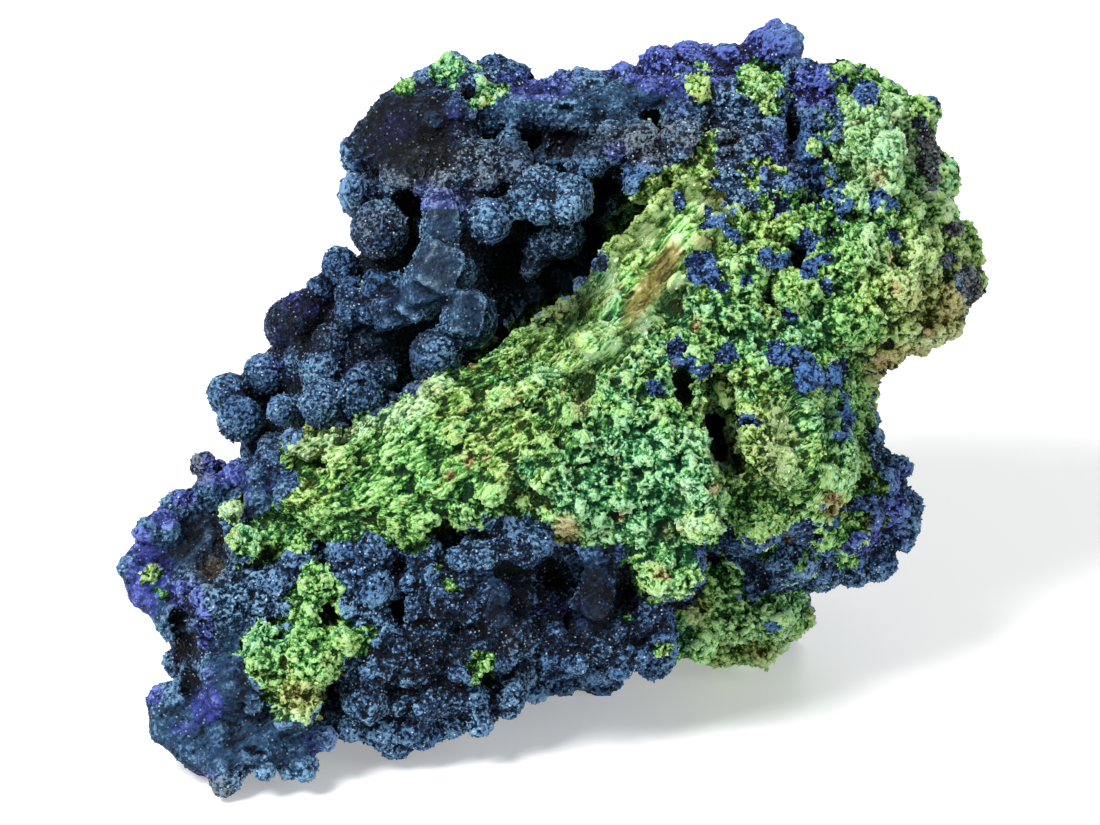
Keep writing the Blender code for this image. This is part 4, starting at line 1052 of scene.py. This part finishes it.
def ball(fineness):
    """A unit ball's points and triangles."""
    mesh = bmesh.new()
    bmesh.ops.create_icosphere(mesh, subdivisions=fineness, radius=1)
    return form_of(mesh)


def hull(points):
    """The closed convex form round a few corners: its points and triangles."""
    mesh = bmesh.new()
    for point in points:
        mesh.verts.new(point)
    bmesh.ops.convex_hull(mesh, input=mesh.verts)
    bmesh.ops.triangulate(mesh, faces=mesh.faces)
    bmesh.ops.recalc_face_normals(mesh, faces=mesh.faces)
    mesh.verts.index_update()
    return form_of(mesh)


def block():
    """A blunt crystal of half width, height and depth one, its near face smaller than its far one."""
    corners = ((-1, -0.9), (-0.8, -1), (0.9, -1), (1, -0.8), (1, 0.7), (0.6, 1), (-1, 0.95))
    low = [(x, y, -1) for x, y in corners]
    return hull(low + [(0.78 * x, 0.82 * y, 0.9 + 0.25 * x) for x, y, _ in low])


def blade():
    """A stubby crystal, pointed at one end, one unit long and standing on the origin."""
    low = [(x, y, -0.3) for x, y in ((-0.28, -0.2), (0.3, -0.16), (0.26, 0.22), (-0.24, 0.18))]
    return hull(low + [(x * 0.75 + 0.06, y * 0.5, 0.55 + 0.3 * x) for x, y, _ in low])


def flake():
    """A small uneven scale, thick in the middle and thin at its edge."""
    reach = (1.0, 0.7, 1.1, 0.8, 0.95)
    rim = [(r * math.cos(1.257 * k), r * math.sin(1.257 * k), 0.25 * (-1) ** k) for k, r in enumerate(reach)]
    return hull(rim + [(0.1, 0, 0.45), (0, 0.1, -0.35)])


def copies(shape, places, frames, sizes):
    """The shape's points and faces repeated at each place, turned and sized."""
    points, faces = shape
    moved = np.einsum("pk,nkj->npj", points, frames * sizes[:, None, None]) + places[:, None, :]
    offsets = np.arange(len(places)) * len(points)
    return moved.reshape(-1, 3), (faces[None] + offsets[:, None, None]).reshape(-1, 3)


def turned(ups, random, spread):
    """For each up, three axes at right angles: two across and one leaning off up at random."""
    up = ups + spread * random.normal(size=ups.shape)
    up /= np.linalg.norm(up, axis=1, keepdims=True)
    across = np.cross(up, random.normal(size=ups.shape))
    across /= np.linalg.norm(across, axis=1, keepdims=True)
    return np.stack((across, np.cross(up, across), up), axis=1)


def add_copies(name, shape, skin, chosen, sizes, spread, sink, random, material):
    """The shape scattered on the chosen points of the surface, as pieces."""
    places = skin["points"][chosen] - skin["normals"][chosen] * (sink * sizes)[:, None]
    axes = turned(skin["normals"][chosen], random, spread)
    tone = random.random(len(chosen)) - 0.5
    corners, triangles = shape
    pieces = 1 + len(chosen) * len(triangles) // MOST_TRIANGLES
    for number, share in enumerate(np.array_split(np.arange(len(chosen)), pieces), 1):
        points, faces = copies(shape, places[share], axes[share], sizes[share])
        fields = {}
        for key, values in skin["fields"].items():
            fields[key] = np.repeat(values[chosen[share]], len(corners))
        # each copy is lighter at its outer end, as painted highlight, and its tone differs at random
        crest = fields["crest"] + 0.3 * np.tile(corners[:, 2], len(share))
        crest = crest + 0.35 * np.repeat(tone[share], len(corners))
        fields["crest"] = np.clip(crest, 0, 1)
        add_piece(f"{name}_{number}", points, faces, material, fields, False)


def build_specimen():
    stones = {"malachite": malachite(), "azurite": azurite()}
    points, faces = grown_skin()
    normals = vertex_normals(points, faces)
    looks = in_shares(zones, points, normals)
    rise = in_shares(coarse_rise, points, *(looks[key] for key in ("green", "calm", "skin")))
    rise -= looks["shown"] * within_holes(to_layout(points))[1]
    points = points + normals * rise[:, None]
    near = to_layout(points)[faces].mean(axis=1)[:, 2]
    front = dressed(*subdivided(*only_used(points, faces[near >= REAR])))
    rear = dressed(*only_used(points, faces[near < REAR]))
    for side, skin in (("front", front), ("rear", rear)):
        green = skin["fields"]["green"][skin["faces"]].mean(axis=1) > 0.5
        add_skin(f"malachite_{side}", skin, green, stones["malachite"], True)
        add_skin(f"azurite_{side}", skin, ~green, stones["azurite"], False)
    random = np.random.default_rng(9)
    for side, skin, density in (("front", front, 1.0), ("rear", rear, 1.2)):
        fields = skin["fields"]
        count = len(skin["points"])
        clear = skin["points"][:, 2] > CLEAR
        wanted = MOSS_DENSITY * (1 - fields["calm"]) * (1 - 0.7 * fields["streak"])
        wanted = np.where((fields["green"] > 0.6) & clear, wanted * (1 - 0.6 * fields["pale_and_highlight"]), 0)
        chosen = np.flatnonzero(random.random(count) < wanted * density)
        sizes = FLAKE_SIZE + FLAKE_SPREAD * random.random(len(chosen)) ** 2
        add_copies(f"moss_{side}", flake(), skin, chosen, sizes, 1.2, 0.0, random, stones["malachite"])
        wanted = np.where((fields["green"] < 0.4) & clear, DRUSE_DENSITY * (1 - 0.8 * fields["skin"]), 0)
        chosen = np.flatnonzero(random.random(count) < wanted * density)
        sizes = CRYSTAL_SIZE + CRYSTAL_SPREAD * random.random(len(chosen)) ** 4
        add_copies(f"crystals_{side}", blade(), skin, chosen, sizes, 0.7, 0.15, random, stones["azurite"])


# --- stage --------------------------------------------------------------------


def add_floor():
    mesh = bmesh.new()
    bmesh.ops.create_grid(mesh, x_segments=1, y_segments=1, size=FLOOR_HALF)
    data = bpy.data.meshes.new("floor")
    mesh.to_mesh(data)
    mesh.free()
    floor = added("floor", data)
    m = Material("floor", Roughness=0.35, Base_Color=(0.86, 0.87, 0.86, 1), Emission_Color=(1, 1, 1, 1))
    data.materials.append(m.finish(Emission_Strength=FLOOR_GLOW))


def aim(obj, place, target):
    obj.location = place
    obj.rotation_mode = "QUATERNION"
    obj.rotation_quaternion = (target - place).to_track_quat("-Z", "Y")


def add_light(name, offset, size, power, target):
    data = bpy.data.lights.new(name, "AREA")
    data.energy = power
    data.size = size
    aim(added(name, data), target + Vector(offset), target)


def add_camera(target):
    data = bpy.data.cameras.new("camera")
    data.lens = data.sensor_width * EYE / FRAME_WIDTH
    data.clip_start = 0.01
    camera = added("camera", data)
    back = Vector((0, -math.cos(LEAN), math.sin(LEAN)))
    aim(camera, target + back * EYE * MM, target)
    bpy.context.scene.camera = camera


def build_stage():
    target = Vector(SET_DOWN * MM)
    add_floor()
    add_camera(target)
    for name, offset, size, power in LIGHTS:
        add_light(name, offset, size, power, target)
    world = bpy.data.worlds.new("studio")
    world.use_nodes = True
    background = world.node_tree.nodes["Background"]
    background.inputs["Color"].default_value = (1, 1, 1, 1)
    background.inputs["Strength"].default_value = ROOM_LIGHT
    bpy.context.scene.world = world
    bpy.context.scene.view_settings.view_transform = "Standard"


build_specimen()
build_stage()
